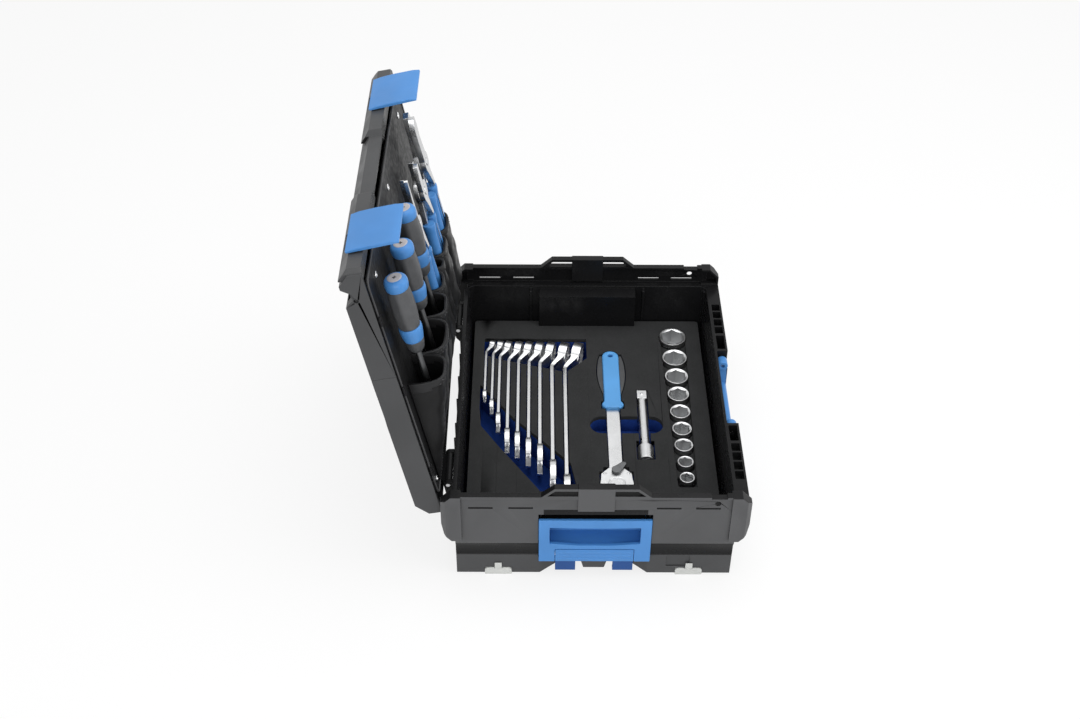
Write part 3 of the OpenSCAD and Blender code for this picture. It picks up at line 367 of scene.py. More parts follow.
def satinSteel(name, colour, roughness, cloud=0.04):
    # plated and polished: broad soft clouds in the gloss, no drawn marks
    finish, tree, shader = newFinish(name, colour, roughness, 1.0)
    tree.links.new(spreadOf(tree, noiseOn(tree, 45, 3), roughness - cloud, roughness + cloud),
                   shader.inputs["Roughness"])
    tone = twoTone(tree, spreadOf(tree, noiseOn(tree, 120, 3), 0, 1), shade(colour, 0.97),
                   shade(colour, 1.02))
    tree.links.new(tone, shader.inputs["Base Color"])
    grain(tree, shader, noiseOn(tree, 26, 2), 0.12, 0.25)
    return finish


def leatherCloth(name, colour, roughness=0.5):
    # coated cloth: pebbled skin over a soft weave
    finish, tree, shader = newFinish(name, colour, roughness)
    pebbles = cellsOn(tree, 900, "SMOOTH_F1", 0.6)
    folds = noiseOn(tree, 26, 4)
    tone = twoTone(tree, spreadOf(tree, folds, 0, 1), shade(colour, 0.85), shade(colour, 1.2))
    tree.links.new(tone, shader.inputs["Base Color"])
    tree.links.new(spreadOf(tree, noiseOn(tree, 160, 4), roughness - 0.06, roughness + 0.1),
                   shader.inputs["Roughness"])
    shader.inputs["Specular IOR Level"].default_value = 0.14
    soft = grain(tree, shader, folds, 0.35, 1.2)
    grain(tree, shader, pebbles, 0.45, 0.12, soft)
    return finish


def gripRubber(name, colour, roughness=0.55):
    finish, tree, shader = newFinish(name, colour, roughness)
    dust = spreadOf(tree, noiseOn(tree, 90, 5), 0, 1)
    tree.links.new(twoTone(tree, dust, shade(colour, 0.92), shade(colour, 1.12)),
                   shader.inputs["Base Color"])
    tree.links.new(spreadOf(tree, noiseOn(tree, 300, 3), roughness - 0.05, roughness + 0.08),
                   shader.inputs["Roughness"])
    grain(tree, shader, cellsOn(tree, 2200), 0.3, 0.05)
    return finish


def threadFinish(name, colour):
    finish, tree, shader = newFinish(name, colour, 0.7)
    twist = noiseOn(tree, 3000, 2, (1, 4, 1))
    tree.links.new(twoTone(tree, spreadOf(tree, twist, 0, 1), shade(colour, 0.8), shade(colour, 1.15)),
                   shader.inputs["Base Color"])
    grain(tree, shader, twist, 0.5, 0.1)
    return finish


finishes = dict(
    # painted light: one black plastic in lit and shaded copies; the grained one is the lit tone, the smooth
    # one a painted shade
    litCaseGrain=mouldedPlastic("grained case plastic, lit tone", (0.072, 0.073, 0.076), 0.42),
    # painted shade: a darker copy of the grained plastic, for the lid's outer faces and the case's low band
    shadedCaseGrain=mouldedPlastic("grained plastic, painted shade tone", (0.050, 0.051, 0.053), 0.40),
    shadedCaseGloss=mouldedPlastic("smooth black plastic, painted shade", (0.0085, 0.0085, 0.009), 0.27, 2.0, 0.02, 0.1, 1.6,
                             0.12),
    partBlue=mouldedPlastic("bright blue plastic", (0.064, 0.228, 0.545), 0.36, 0.4, 0.03, 0.2, 1.08),
    deepBlue=mouldedPlastic("deep blue plastic", (0.022, 0.078, 0.26), 0.38, 0.4, 0.03, 0.2, 1.1, 0.2),
    footWhite=mouldedPlastic("pale foot plastic", (0.60, 0.61, 0.59), 0.5, 0.6, 0.04, 0.3, 1.0),
    handleBlue=mouldedPlastic("light blue handle plastic", (0.098, 0.33, 0.68), 0.36, 0.4, 0.03, 0.2,
                              1.06),
    skinFoam=foamSkin("dark foam skin", (0.028, 0.0285, 0.029), 0.7, 0.10, 1.7),
    cutFoam=foamSkin("cut blue foam", (0.012, 0.040, 0.20), 1.1, 0.25, 1.9),
    toolChrome=satinSteel("satin tool chrome", (0.63, 0.635, 0.64), 0.30),
    plierChrome=satinSteel("polished plier steel", (0.58, 0.585, 0.59), 0.26),
    pinSteel=satinSteel("drawn pin steel", (0.62, 0.62, 0.63), 0.30),
    rivetNickel=satinSteel("rivet nickel", (0.78, 0.78, 0.78), 0.22),
    darkSteelAndBladeShade=satinSteel("dark lever steel, painted shade on blades", (0.14, 0.143, 0.147), 0.38),
    boardCloth=leatherCloth("black board cloth", (0.010, 0.010, 0.0105), 0.42),
    pocketCloth=leatherCloth("black pocket cloth", (0.012, 0.012, 0.0125), 0.38),
    softGrey=gripRubber("grey grip rubber", (0.066, 0.068, 0.072)),
    capGrey=gripRubber("pale cap mark", (0.42, 0.40, 0.41), 0.5),
    bindingCloth=leatherCloth("board binding cloth", (0.060, 0.060, 0.062), 0.38),
    hemClothHighlight=leatherCloth("folded hem cloth, painted highlight", (0.024, 0.024, 0.025), 0.36),
    collarGrey=gripRubber("dark collar rubber", (0.045, 0.047, 0.050), 0.5),
    darkGrey=gripRubber("dark hole plastic", (0.02, 0.02, 0.02), 0.6),
    seamThread=threadFinish("pale seam thread", (0.10, 0.10, 0.104)),
)
print("finishes mixed:", len(finishes))

# rigid parts: the solid's own mesh, merged, its edges broken and rounded

rounding = dict(flat=0.6, corner=30, smooth=36, overfill=0.5, foamSeam=0.04, square=0.999)


def foldedFaces(piece):
    # true where a many-sided face doesn't fill as it should
    piece.data.calc_loop_triangles()
    filled = {}
    for corner in piece.data.loop_triangles:
        filled[corner.polygon_index] = filled.get(corner.polygon_index, 0) + corner.area
    slack = rounding["overfill"] * mm * mm
    return any(filled.get(face.index, 0) > face.area + slack for face in piece.data.polygons)


def closeSeams(piece):
    # the foam is one piece: the hair cuts between its blocks are taken out and welded
    gap = rounding["foamSeam"]
    for axis in (0, 1):
        editMode(piece, "FACE", False)
        objectMode()
        walls = [face for face in piece.data.polygons if abs(face.normal[axis]) > rounding["square"]]
        planes = {(round(face.center[axis] / mm, 2), face.normal[axis] > 0) for face in walls}
        for face in walls:
            up = face.normal[axis] > 0
            across = round(face.center[axis] / mm + (gap if up else -gap), 2)
            face.select = any((round(across + slip, 2), not up) in planes for slip in (-0.01, 0, 0.01))
        bpy.ops.object.mode_set(mode="EDIT")
        bpy.ops.mesh.delete(type="FACE")
        bpy.ops.mesh.select_all(action="SELECT")
        bpy.ops.mesh.remove_doubles(threshold=(gap + weld["seam"]) * mm)
        objectMode()


def roundedPart(node, finish, edge, segments):
    name = node + "_finished"
    for merged in (True, False):
        piece = bpy.data.objects.new(name, frame["nodes"][node].data.copy())
        bpy.context.scene.collection.objects.link(piece)
        editMode(piece)
        bpy.ops.mesh.remove_doubles(threshold=weld["solid"] * mm)
        objectMode()
        if node.startswith("foam"):
            closeSeams(piece)
        if merged:
            editMode(piece)
            bpy.ops.mesh.dissolve_limited(angle_limit=math.radians(rounding["flat"]))
            objectMode()
        bevelPiece(piece, edge, segments, rounding["corner"])
        if merged and foldedFaces(piece):
            bpy.data.objects.remove(piece)
        else:
            break
    smoothPiece(piece, rounding["smooth"])
    # broad flat faces stay flat beside their rounded edges
    even = piece.modifiers.new("even", "WEIGHTED_NORMAL")
    even.keep_sharp = True
    applyModifiers(piece)
    return finishPiece(piece, name, frame["nodes"][node]["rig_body"], finish, (node,))


def secondFinish(piece, finish, test):
    # the faces that pass the test take another finish of the same part
    piece.data.materials.append(finish)
    for face in piece.data.polygons:
        if test(face.center / mm, face.normal):
            face.material_index = len(piece.data.materials) - 1


def cutAcross(piece, place, normal, test):
    # the faces that pass the test get an edge where the plane crosses them
    editMode(piece, "FACE", False)
    objectMode()
    for face in piece.data.polygons:
        face.select = test(face.center / mm, face.normal)
    bpy.ops.object.mode_set(mode="EDIT")
    bpy.ops.mesh.bisect(plane_co=[spot * mm for spot in place], plane_no=normal)
    objectMode()


rigidParts = [
    # node, finish, slot, broken edge in mm, segments
    ("base_shell", "shadedCaseGloss", "black_plastic", 0.45, 2),
    ("lid_shell", "shadedCaseGloss", "black_plastic", 0.5, 2),
    ("feet", "footWhite", "light_plastic", 0.6, 2),
    ("front_handle", "partBlue", "blue_plastic", 0.8, 2),
    ("lid_handle", "partBlue", "blue_plastic", 0.8, 2),
    ("side_grip_left", "partBlue", "blue_plastic", 0.8, 3),
    ("side_grip_right", "partBlue", "blue_plastic", 0.8, 3),
    ("side_lever_left", "partBlue", "blue_plastic", 0.35, 2),
    ("side_lever_right", "partBlue", "blue_plastic", 0.35, 2),
    ("latch_left", "partBlue", "blue_plastic", 0.9, 3),
    ("latch_right", "partBlue", "blue_plastic", 0.9, 3),
    ("foam_top", "skinFoam", "dark_foam", 0.5, 2),
    ("foam_ribs", "skinFoam", "dark_foam", 0.5, 2),
    ("foam_base", "cutFoam", "blue_foam", 0.5, 1),
    ("ratchet_body", "toolChrome", "tool_chrome", 0.7, 3),
    ("ratchet_handle", "handleBlue", "blue_plastic", 2.2, 4),
    ("ratchet_grip", "collarGrey", "grey_grip", 0.8, 2),
    ("ratchet_lever", "darkSteelAndBladeShade", "lever_steel", 0.4, 2),
    ("ratchet_cover", "toolChrome", "tool_chrome", 0.2, 2),
    ("ratchet_drive", "toolChrome", "tool_chrome", 0.3, 2),
    ("extension_bar", "toolChrome", "tool_chrome", 0.5, 2),
    ("board_clips", "shadedCaseGloss", "black_plastic", 0.35, 2),
]
for i in range(1, 10):
    rigidParts.append((f"wrench_{i}", "toolChrome", "tool_chrome", 0.45, 2))
    rigidParts.append((f"socket_{i}", "toolChrome", "tool_chrome", 0.35, 2))
# painted shade: the blades take the dark lever steel, standing in for the shade they sit in inside the
# pockets
for i in range(1, 4):
    rigidParts.append((f"screwdriver_blade_{i}", "darkSteelAndBladeShade", "lever_steel", 0.15, 1))
for kind in ("pump", "combination", "long_nose"):
    for half in ("left", "right"):
        rigidParts.append((f"{kind}_pliers_{half}", "plierChrome", "tool_chrome", 0.5, 2))

rounded = {}
for node, finish, slot, edge, segments in rigidParts:
    rounded[node] = roundedPart(node, finishes[finish], edge, segments)
print("rigid parts rounded:", len(rigidParts))

# outward faces of the case take the lighter grained plastic; tops and inner faces keep the far darker smooth
# black, a painted shade of the same black plastic
outside = dict(endX=196.0, endY=163.5, sideY=146.0, lidU=186.0, lidRimV=320.0, hookTop=29.5,
               gripX=215.0, gripZ=96.0, stepShadeZ=(34.0, 58.8), portShadeZ=(106.5, 115.5), portShadeY=60.0,
               wellShadeY=-98.0)
# how far a normal leans towards a side before the face counts as facing there
facing = dict(side=0.35, up=0.55, down=-0.7, plate=0.9, gripTop=0.4, lidOut=-0.55, lidIn=0.9, lidTop=0.5)


def onEndPlate(spot, normal):
    return abs(spot.x) > outside["endX"] and normal.x * spot.x > 0 and abs(normal.x) > facing["plate"]


def baseFacesOut(spot, normal):
    if normal.z > facing["up"]:
        return False
    if abs(spot.x) > outside["endX"] and abs(spot.y) < outside["endY"]:
        # painted shade: the band round the step of the end wall, and the band over the grip, keep the darker
        # smooth black, standing in for the shade under them
        if outside["stepShadeZ"][0] < spot.z < outside["stepShadeZ"][1]:
            return False
        if outside["portShadeZ"][0] < spot.z < outside["portShadeZ"][1] and abs(spot.y) < outside["portShadeY"]:
            return False
    return (abs(spot.x) > outside["endX"] and normal.x * spot.x > 0 and abs(normal.x) > facing["side"]
            or abs(spot.y) > outside["sideY"] and normal.y * spot.y > 0 and abs(normal.y) > facing["side"]
            or normal.z < facing["down"])


toLid = lidMatrix.inverted()


def lidFacesOut(spot, normal):
    place = (toLid @ (spot * mm)) / mm
    turned = toLid.to_3x3() @ normal
    # a face at the lid's end turns inwards where its normal and its place have unlike signs
    atEnd = abs(place.x) > outside["lidU"] and turned.x * place.x > -1 and turned.z < facing["lidIn"]
    atTop = turned.y > facing["lidTop"] and place.y > outside["lidRimV"]
    return turned.z < facing["lidOut"] or atEnd or atTop


# the end plates are cut along the edges of the painted shade band over the grip
cutAcross(rounded["base_shell"], (0, 0, outside["portShadeZ"][1]), (0, 0, 1), onEndPlate)
for y in (-outside["portShadeY"], outside["portShadeY"]):
    cutAcross(rounded["base_shell"], (0, y, 0), (0, 1, 0), onEndPlate)
secondFinish(rounded["base_shell"], finishes["litCaseGrain"], baseFacesOut)
# painted shade: the case's low band under the groove takes the darker grained copy
secondFinish(rounded["base_shell"], finishes["shadedCaseGrain"],
             lambda spot, normal: spot.z < outside["stepShadeZ"][0] and baseFacesOut(spot, normal))
secondFinish(rounded["lid_shell"], finishes["shadedCaseGrain"], lidFacesOut)
for side in ("left", "right"):
    secondFinish(rounded[f"side_lever_{side}"], finishes["deepBlue"],
                 lambda spot, normal: spot.z < outside["hookTop"])
    # painted shade: the top faces of the blue grips behind the front plate take the dark smooth black,
    # standing in for the shade in the niche above them
    secondFinish(rounded[f"side_grip_{side}"], finishes["shadedCaseGloss"],
                 lambda spot, normal: (spot.z > outside["gripZ"] and normal.z > facing["gripTop"]
                                       and abs(spot.x) < outside["gripX"]))
# painted shade: the faces in the deep round wells of the sockets take the dark skin foam, standing in for the
# shade down in them
secondFinish(rounded["foam_base"], finishes["skinFoam"], lambda spot, normal: spot.y < outside["wellShadeY"])
print("grain and hooks set apart")

for node in ("base_pins", "lid_pins"):
    solid = frame["nodes"][node]
    solid.data.materials.clear()
    solid.data.materials.append(finishes["pinSteel"])

# tool board: a stiff panel in black cloth, bound round its edge

board = dict(halfWidth=199.0, low=14.0, high=330.0, corner=9.0, thick=2.4, face=0.4, wave=0.45,
             bindingWidth=1.25, inset=1.2, calmEdge=9, columns=70, rows=56)


def slowWave(u, v):
    broad = math.sin(u / 31 + v / 47)
    slanted = 0.7 * math.sin(u / 19 - v / 23 + 1.3)
    fine = 0.5 * math.sin(v / 13 + u / 90)
    return (broad + slanted + fine) / 2.2


def layOut(piece, place):
    # every vertex of a flat grid goes where the cloth lies, in millimetres on the lid
    for vertex in piece.data.vertices:
        vertex.co = lidMatrix @ (Vector(place(vertex.co.x, vertex.co.y)) * mm)
    piece.data.update()


def edgeTube(piece, width, name):
    # a round cord along the free edge, made from the edge loop itself
    editMode(piece)
    bpy.ops.mesh.region_to_loop()
    bpy.ops.mesh.duplicate()
    bpy.ops.mesh.separate(type="SELECTED")
    objectMode()
    rim = [o for o in bpy.context.selected_objects if o != piece][0]
    pick(rim)
    bpy.ops.object.convert(target="CURVE")
    rim.data.bevel_depth = width * mm
    rim.data.bevel_resolution = 2
    bpy.ops.object.convert(target="MESH")
    rim.name = name
    return rim


def makeBoard():
    bpy.ops.mesh.primitive_grid_add(x_subdivisions=board["columns"], y_subdivisions=board["rows"],
                                    size=2)
    panel = bpy.context.object
    middle = (board["low"] + board["high"]) / 2
    halfHeight = (board["high"] - board["low"]) / 2

    def place(x, y):
        r, w, h = board["corner"], board["halfWidth"] - board["inset"], halfHeight - board["inset"]
        u, v = x * w, y * h
        inU, inV = max(-w + r, min(w - r, u)), max(-h + r, min(h - r, v))
        du, dv = u - inU, v - inV
        away = math.hypot(du, dv)
        if away > r:
            du, dv = du * r / away, dv * r / away
        calm = min(1, (1 - abs(x)) * board["calmEdge"]) * min(1, (1 - abs(y)) * board["calmEdge"])
        return inU + du, middle + inV + dv, board["face"] + board["wave"] * slowWave(u, v) * calm

    layOut(panel, place)
    binding = edgeTube(panel, board["bindingWidth"], "board_binding")
    skin = panel.modifiers.new("board", "SOLIDIFY")
    skin.thickness = board["thick"] * mm
    skin.offset = -1
    applyModifiers(panel)
    outwards(panel)
    smoothPiece(panel, 40)
    smoothPiece(binding, 60)
    finishPiece(panel, "board_panel", "lid", finishes["boardCloth"], ("tool_board",))
    finishPiece(binding, "board_binding", "lid", finishes["bindingCloth"])
    print("tool board laid")
    return panel


# pocket band: one strip of cloth sewn down between the pockets, so that each stands open as a loop

pocket = dict(left=-178.0, right=154.0, low=18.0, high=168.0, middle=80.0,
              dividers=(-126.0, -62.0, -14.0, 30.0, 54.0, 103.0),
              midHeight=(22.5, 24, 25, 28, 28, 30, 30), topHeight=(42, 41, 38, 32, 30, 31, 31),
              lowHeight=3.4, seamHeight=1.9, cloth=1.7, hem=9.0, hemExtra=1.5, dip=3.0,
              columns=16, rows=34, stitch=3.0, stitchStep=4.6, stitchWidth=0.32,
              stitchRows=((0.945, 1.15), (0.975, 1.15), (0.025, 0.2)), stitchedV=(22, 166, 4),
              wallLift=0.15, steps=40)
pocketWalls = (pocket["left"], *pocket["dividers"], pocket["right"])
pocketCount = len(pocketWalls) - 1


def pocketPoint(column, share):
    # column runs 0..1 in each pocket in turn, share runs up the pocket
    cell = min(int(column), pocketCount - 1)
    t = math.sin((column - cell - 0.5) * math.pi)
    start, end = pocketWalls[cell], pocketWalls[cell + 1]
    v = pocket["low"] + share * (pocket["high"] - pocket["low"])
    if v < pocket["middle"]:
        part = (v - pocket["low"]) / (pocket["middle"] - pocket["low"])
        top = pocket["lowHeight"] + part * (pocket["midHeight"][cell] - pocket["lowHeight"])
    else:
        part = (v - pocket["middle"]) / (pocket["high"] - pocket["middle"])
        top = pocket["midHeight"][cell] + part * (pocket["topHeight"][cell] - pocket["midHeight"][cell])
    arch = max(0.0, 1 - abs(t) ** 4) ** 0.36
    crease = 0.9 * math.sin(v / 9.0 + 2.1 * t + cell) * math.sin(math.pi * share) * arch
    crease += 0.6 * math.sin(v / 4.3 - 3 * t + 2 * cell) * share * arch
    seam = pocket["seamHeight"]
    height = seam + (top - seam) * arch + crease - 0.9 * arch
    width = (end - start) / 2 - 0.35
    u = (start + end) / 2 + t * width
    return u, v - pocket["dip"] * share ** 6 * arch, height


def runLength(points):
    return sum(math.dist(a, b) for a, b in zip(points, points[1:]))


def stitchesAlong(lines, name):
    # short threads that dip in and out along each line
    threads = bpy.data.curves.new(name, "CURVE")
    threads.dimensions = "3D"
    threads.bevel_depth = pocket["stitchWidth"] * mm
    threads.bevel_resolution = 1
    for line in lines:
        gone, nextStart = 0.0, 0.0
        for a, b in zip(line, line[1:]):
            step = math.dist(a, b)
            while nextStart < gone + step and step > 0:
                near = (nextStart - gone) / step
                far = min(1.0, near + pocket["stitch"] / step)
                first, last = (Vector(a).lerp(Vector(b), k) for k in (near, far))
                thread = threads.splines.new("POLY")
                thread.points.add(1)
                for point, spot in zip(thread.points, (first, last)):
                    point.co = (*(lidMatrix @ (spot * mm)), 1)
                nextStart += pocket["stitchStep"]
            gone += step
    holder = bpy.data.objects.new(name, threads)
    bpy.context.scene.collection.objects.link(holder)
    pick(holder)
    bpy.ops.object.convert(target="MESH")
    return finishPiece(bpy.context.object, name, "lid", finishes["seamThread"])


def makePockets():
    columns = pocketCount * pocket["columns"]
    bpy.ops.mesh.primitive_grid_add(x_subdivisions=columns, y_subdivisions=pocket["rows"], size=2)
    band = bpy.context.object
    layOut(band, lambda x, y: pocketPoint((x + 1) / 2 * pocketCount, (y + 1) / 2))
    # the hem is the band's own top strip, folded over
    editMode(band, "FACE", False)
    objectMode()
    edge = pocket["high"] - pocket["hem"]
    for face in band.data.polygons:
        face.select = (toLid @ face.center).y / mm > edge - pocket["dip"]
    bpy.ops.object.mode_set(mode="EDIT")
    bpy.ops.mesh.duplicate()
    bpy.ops.mesh.separate(type="SELECTED")
    objectMode()
    hem = [o for o in bpy.context.selected_objects if o != band][0]
    folded = pocket["cloth"] + pocket["hemExtra"]
    for piece, thickness, offset in ((band, pocket["cloth"], -1), (hem, folded, -0.45)):
        skin = piece.modifiers.new("cloth", "SOLIDIFY")
        skin.thickness = thickness * mm
        skin.offset = offset
        applyModifiers(piece)
        outwards(piece)
    bevelPiece(hem, 0.6, 2, 50)
    smoothPiece(band, 60)
    smoothPiece(hem, 60)
    finishPiece(band, "pocket_band", "lid", finishes["pocketCloth"], ("pocket_row",))
    # painted highlight: the hem is the band's own cloth in a lighter tone, standing in for light along the
    # fold
    finishPiece(hem, "pocket_hem", "lid", finishes["hemClothHighlight"])
    count = pocketCount * pocket["steps"]
    lines = []
    for share, lift in pocket["stitchRows"]:
        line = []
        for k in range(count + 1):
            u, v, h = pocketPoint(k / count * pocketCount, share)
            line.append((u, v, h + lift))
        lines.append(line)
    for wall in range(1, pocketCount):
        height = pocket["seamHeight"] + pocket["wallLift"]
        lines.append([(pocketWalls[wall], v, height) for v in range(*pocket["stitchedV"])])
    threads = stitchesAlong(lines, "pocket_stitches")
    # the cloth's flat size is what the made band measures along its hem and up its deepest pocket
    widest = runLength([pocketPoint(k / count * pocketCount, 1.0) for k in range(count + 1)])
    tallest = max(runLength([pocketPoint(c + 0.5, k / 30) for k in range(31)])
                  for c in range(pocketCount))


boardPanel = makeBoard()
makePockets()

# hollow rivets on the board

rivet = dict(radius=4.0, hole=1.9, height=1.0, brim=0.9, dome=0.35, lip=0.25, depth=0.8, lift=0.55, places=(
    (-158, 308), (4, 308), (158, 308), (-118, 178), (36, 178), (-186, 30), (186, 30)))


def makeRivets():
    bpy.ops.mesh.primitive_cylinder_add(vertices=32, radius=rivet["radius"] * mm,
                                        depth=rivet["height"] * mm)
    first = bpy.context.object
    editMode(first, "FACE", False)
    objectMode()
    for face in first.data.polygons:
        face.select = face.normal.z > 0.9
    bpy.ops.object.mode_set(mode="EDIT")
    bpy.ops.mesh.inset(thickness=rivet["brim"] * mm, depth=rivet["dome"] * mm)
    bpy.ops.mesh.inset(thickness=(rivet["radius"] - rivet["hole"] - rivet["brim"]) * mm, depth=0)
    bpy.ops.mesh.inset(thickness=rivet["lip"] * mm, depth=-rivet["depth"] * mm)
    objectMode()
    bevelPiece(first, 0.14, 2, 35)
    smoothPiece(first, 40)
    heads = [first] + [ownCopy(first, "rivet") for place in rivet["places"][1:]]
    for head, (u, v) in zip(heads, rivet["places"]):
        fixPlace(head, onLid(u, v, board["face"] + rivet["lift"]))
    pick(*heads)
    bpy.ops.object.join()
    finishPiece(bpy.context.object, "board_rivet_heads", "lid", finishes["rivetNickel"],
                ("board_rivets",))


makeRivets()
print("rivets set")

# round parts drawn along a line of stations


def drawStations(name, stations, sides):
    # each station: along, radius across, radius deep, shift across
    along, wide, deep, shift = stations[0]
    bpy.ops.mesh.primitive_circle_add(vertices=sides, radius=1, fill_type="NGON",
                                      location=(shift * mm, 0, along * mm))
    piece = bpy.context.object
    piece.scale = (wide * mm, deep * mm, 1)
    bpy.ops.object.transform_apply(location=True, rotation=True, scale=True)
    editMode(piece)
    lastWide, lastDeep, lastShift, lastAlong = wide, deep, shift, along
    for along, wide, deep, shift in stations[1:]:
        bpy.ops.mesh.extrude_region_move(TRANSFORM_OT_translate={
            "value": ((shift - lastShift) * mm, 0, (along - lastAlong) * mm)})
        bpy.ops.transform.resize(value=(wide / lastWide, deep / lastDeep, 1),
                                 center_override=(shift * mm, 0, along * mm))
        lastWide, lastDeep, lastShift, lastAlong = wide, deep, shift, along
    objectMode()
    piece.name = name
    return piece


def pickRing(piece, test):
    # picks vertices by their place, in millimetres
    editMode(piece, "VERT", False)
    objectMode()
    for vertex in piece.data.vertices:
        vertex.select = test(vertex.co / mm)
    bpy.ops.object.mode_set(mode="EDIT")


# screwdriver handles: domed cap, fluted grip, ring and rounded collar

driver = dict(tops=((-159.0, 302.0), (-90.0, 296.0), (-30.0, 301.0)), lengths=(102.0, 92.0, 96.0),
              axisHeight=19.0, flutes=6, flute=0.93, fluteEnds=(0.19, 0.61), fluteWidths=(0.30, 0.17),
              fluteRadius=11.5, sides=48)


def driverPieces(index):
    long = driver["lengths"][index]
    cap = drawStations("cap", [(z, r, r, 0) for z, r in (
        (0.9, 5.4), (0.45, 6.4), (0.5, 8.0), (1.0, 9.6), (2.0, 11.3), (3.6, 12.5), (5.6, 13.1), (10, 13.1),
        (12.6, 12.7), (14.2, 12.2), (14.4, 10.0))], driver["sides"])
    grip = drawStations("grip", [(z, r, r, 0) for z, r in (
        (14.3, 9.0), (14.3, 11.9), (15.2, 12.3), (0.2 * long, 12.8), (0.3 * long, 13.4), (0.42 * long, 13.55),
        (0.52 * long, 13.1), (0.6 * long, 12.4), (0.637 * long, 11.9), (0.645 * long, 11.0),
        (0.645 * long, 8.0))], driver["sides"])
    for k in range(driver["flutes"]):
        middle = (k + 0.5) * 2 * math.pi / driver["flutes"]

        def inFlute(spot, width):
            turn = (math.atan2(spot.y, spot.x) - middle + math.pi) % (2 * math.pi) - math.pi
            low, high = (end * long for end in driver["fluteEnds"])
            return (abs(turn) < width and low < spot.z < high
                    and math.hypot(spot.x, spot.y) > driver["fluteRadius"])

        for width in driver["fluteWidths"]:
            pickRing(grip, lambda spot: inFlute(spot, width))
            shrink = driver["flute"] ** 0.5
            bpy.ops.transform.resize(value=(shrink, shrink, 1), center_override=(0, 0, 0))
            objectMode()
    ring = drawStations("ring", [(z * long, r, r, 0) for z, r in (
        (0.643, 8.0), (0.643, 12.2), (0.655, 12.8), (0.69, 13.05), (0.74, 12.5), (0.80, 11.5), (0.825, 11.0),
        (0.83, 10.2), (0.83, 8.0))], driver["sides"])
    collar = drawStations("collar", [(z * long, r, r, 0) for z, r in (
        (0.828, 8.0), (0.828, 10.6), (0.84, 10.9), (0.88, 10.4), (0.94, 9.2), (0.97, 7.6), (0.99, 6.0),
        (1.0, 4.4), (0.985, 3.55))], driver["sides"])
    disc = drawStations("disc", [(z, r, r, 0) for z, r in (
        (0.52, 8.2), (0.22, 7.9), (0.18, 6.0), (0.18, 4.6), (0.2, 2.2))], driver["sides"])
    # cross mark let into the disc
    bpy.ops.mesh.primitive_cube_add(size=1, location=(0, 0, 0.1 * mm))
    cross = bpy.context.object
    cross.scale = (4.6 * mm, 1.1 * mm, 0.5 * mm)
    bpy.ops.object.transform_apply(location=True, rotation=True, scale=True)
    editMode(cross)
    bpy.ops.mesh.duplicate()
    bpy.ops.transform.rotate(value=math.radians(90), orient_axis="Z", center_override=(0, 0, 0))
    objectMode()
    bevelPiece(cross, 0.15, 2, 40)
    return cap, grip, ring, collar, disc, cross


driverLooks = (("cap", "partBlue", "blue_plastic"), ("grip", "softGrey", "grey_grip"),
               ("ring", "partBlue", "blue_plastic"), ("collar", "collarGrey", "grey_grip"),
               ("disc", "capGrey", "grey_grip"), ("cross", "darkGrey", "grey_grip"))
for index, (u, v) in enumerate(driver["tops"]):
    place = onLid(u, v, driver["axisHeight"], Matrix.Rotation(math.radians(90), 4, "X"))
    for piece, (part, finish, slot) in zip(driverPieces(index), driverLooks):
        if part != "cross":
            outwards(piece)
            bevelPiece(piece, 0.25, 2, 50)
            smoothPiece(piece, 50)
        fixPlace(piece, place)
        finishPiece(piece, f"driver_{part}_{index + 1}", f"screwdriver_{index + 1}",
                    finishes[finish], (f"screwdriver_handle_{index + 1}",) if part == "grip" else ())
print("screwdriver handles made")

# pliers sleeves: slim, bowed, with a thumb guard and a soft inlay

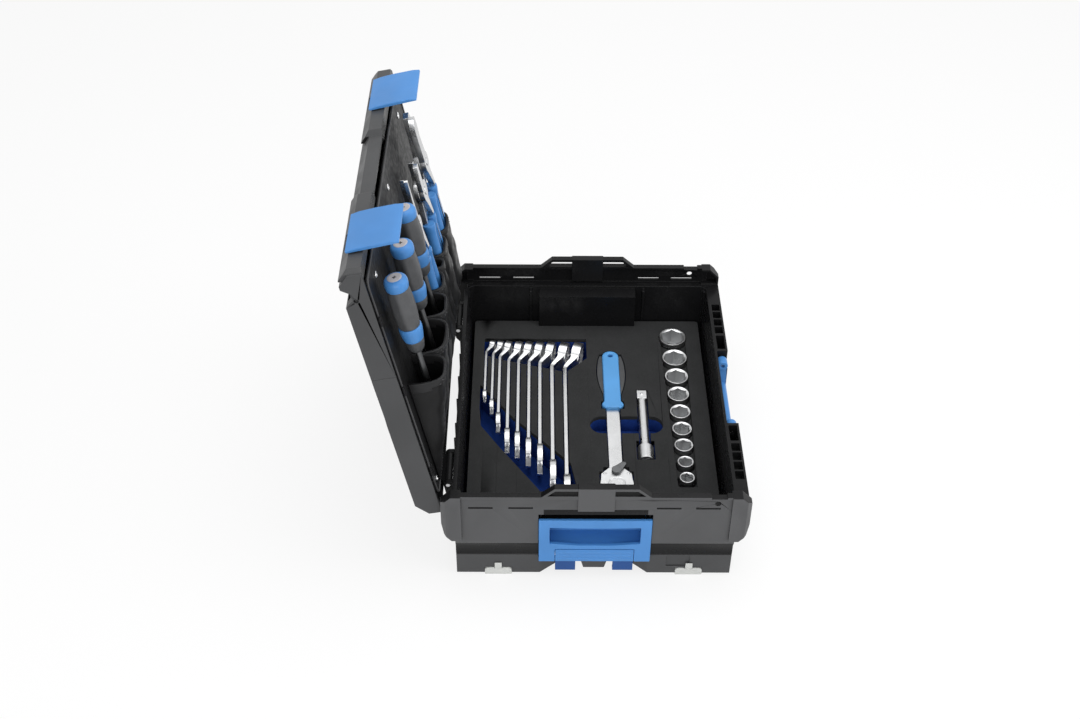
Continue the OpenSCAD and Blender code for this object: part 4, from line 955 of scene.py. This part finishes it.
sleeves = dict(
    pump=dict(at=(128.0, 322.0), pivot=66.0, length=236.0, spread=11.0, deep=7.5, wide=6.3, bow=1.6),
    combination=dict(at=(79.0, 287.0), pivot=40.0, length=186.0, spread=10.0, deep=7.0, wide=6.2, bow=2.0),
    long_nose=dict(at=(8.0, 311.0), pivot=62.0, length=196.0, spread=9.0, deep=6.6, wide=5.9, bow=1.8))
# share of the length, share of the full width
sleeveOutline = ((0.0, 0.80), (0.0, 1.16), (0.012, 1.24), (0.045, 1.22), (0.085, 1.02), (0.14, 0.90),
                 (0.26, 0.93), (0.42, 1.0), (0.60, 1.0), (0.78, 0.92), (0.92, 0.82), (0.975, 0.66),
                 (0.995, 0.40), (1.0, 0.2))
inlayOutline = ((0.19, 0.2), (0.2, 0.6), (0.24, 0.95), (0.4, 1.1), (0.6, 1.1), (0.76, 0.95), (0.82, 0.6),
                (0.835, 0.2))


def sleevePieces(kind, side):
    size = sleeves[kind]
    start, end = size["pivot"] + 41.0, size["length"] + 0.5

    def shift(share):
        return side * (size["spread"] - 0.15 + size["bow"] * math.sin(math.pi * share))

    sleeve = drawStations("sleeve", [
        (start + share * (end - start), size["wide"] * scale, size["deep"] * (0.5 + 0.5 * scale),
         shift(share))
        for share, scale in sleeveOutline], 28)
    inlay = drawStations("inlay", [
        (start + share * (end - start), 2.6 * scale, 1.3 * scale, shift(share))
        for share, scale in inlayOutline], 16)
    editMode(inlay)
    bpy.ops.transform.translate(value=(0, -(size["deep"] - 0.62) * mm, 0))
    objectMode()
    return sleeve, inlay


for kind, size in sleeves.items():
    u, v = size["at"]
    # stations run towards the hinge, with their depth across the board
    place = onLid(u, v, driver["axisHeight"], Matrix.Rotation(math.radians(90), 4, "X"))
    made = {"sleeve": [], "inlay": []}
    for side in (-1, 1):
        for piece, part in zip(sleevePieces(kind, side), ("sleeve", "inlay")):
            outwards(piece)
            smoothPiece(piece, 50)
            fixPlace(piece, place)
            made[part].append(piece)
    for part, finish, slot in (("sleeve", "partBlue", "blue_plastic"),
                               ("inlay", "softGrey", "grey_grip")):
        pick(*made[part])
        bpy.ops.object.join()
        finishPiece(bpy.context.object, f"{kind}_{part}s", f"{kind}_pliers", finishes[finish],
                    (f"{kind}_pliers_sleeves",) if part == "sleeve" else ())
print("pliers sleeves made")

bpy.context.scene.view_settings.view_transform = "Standard"
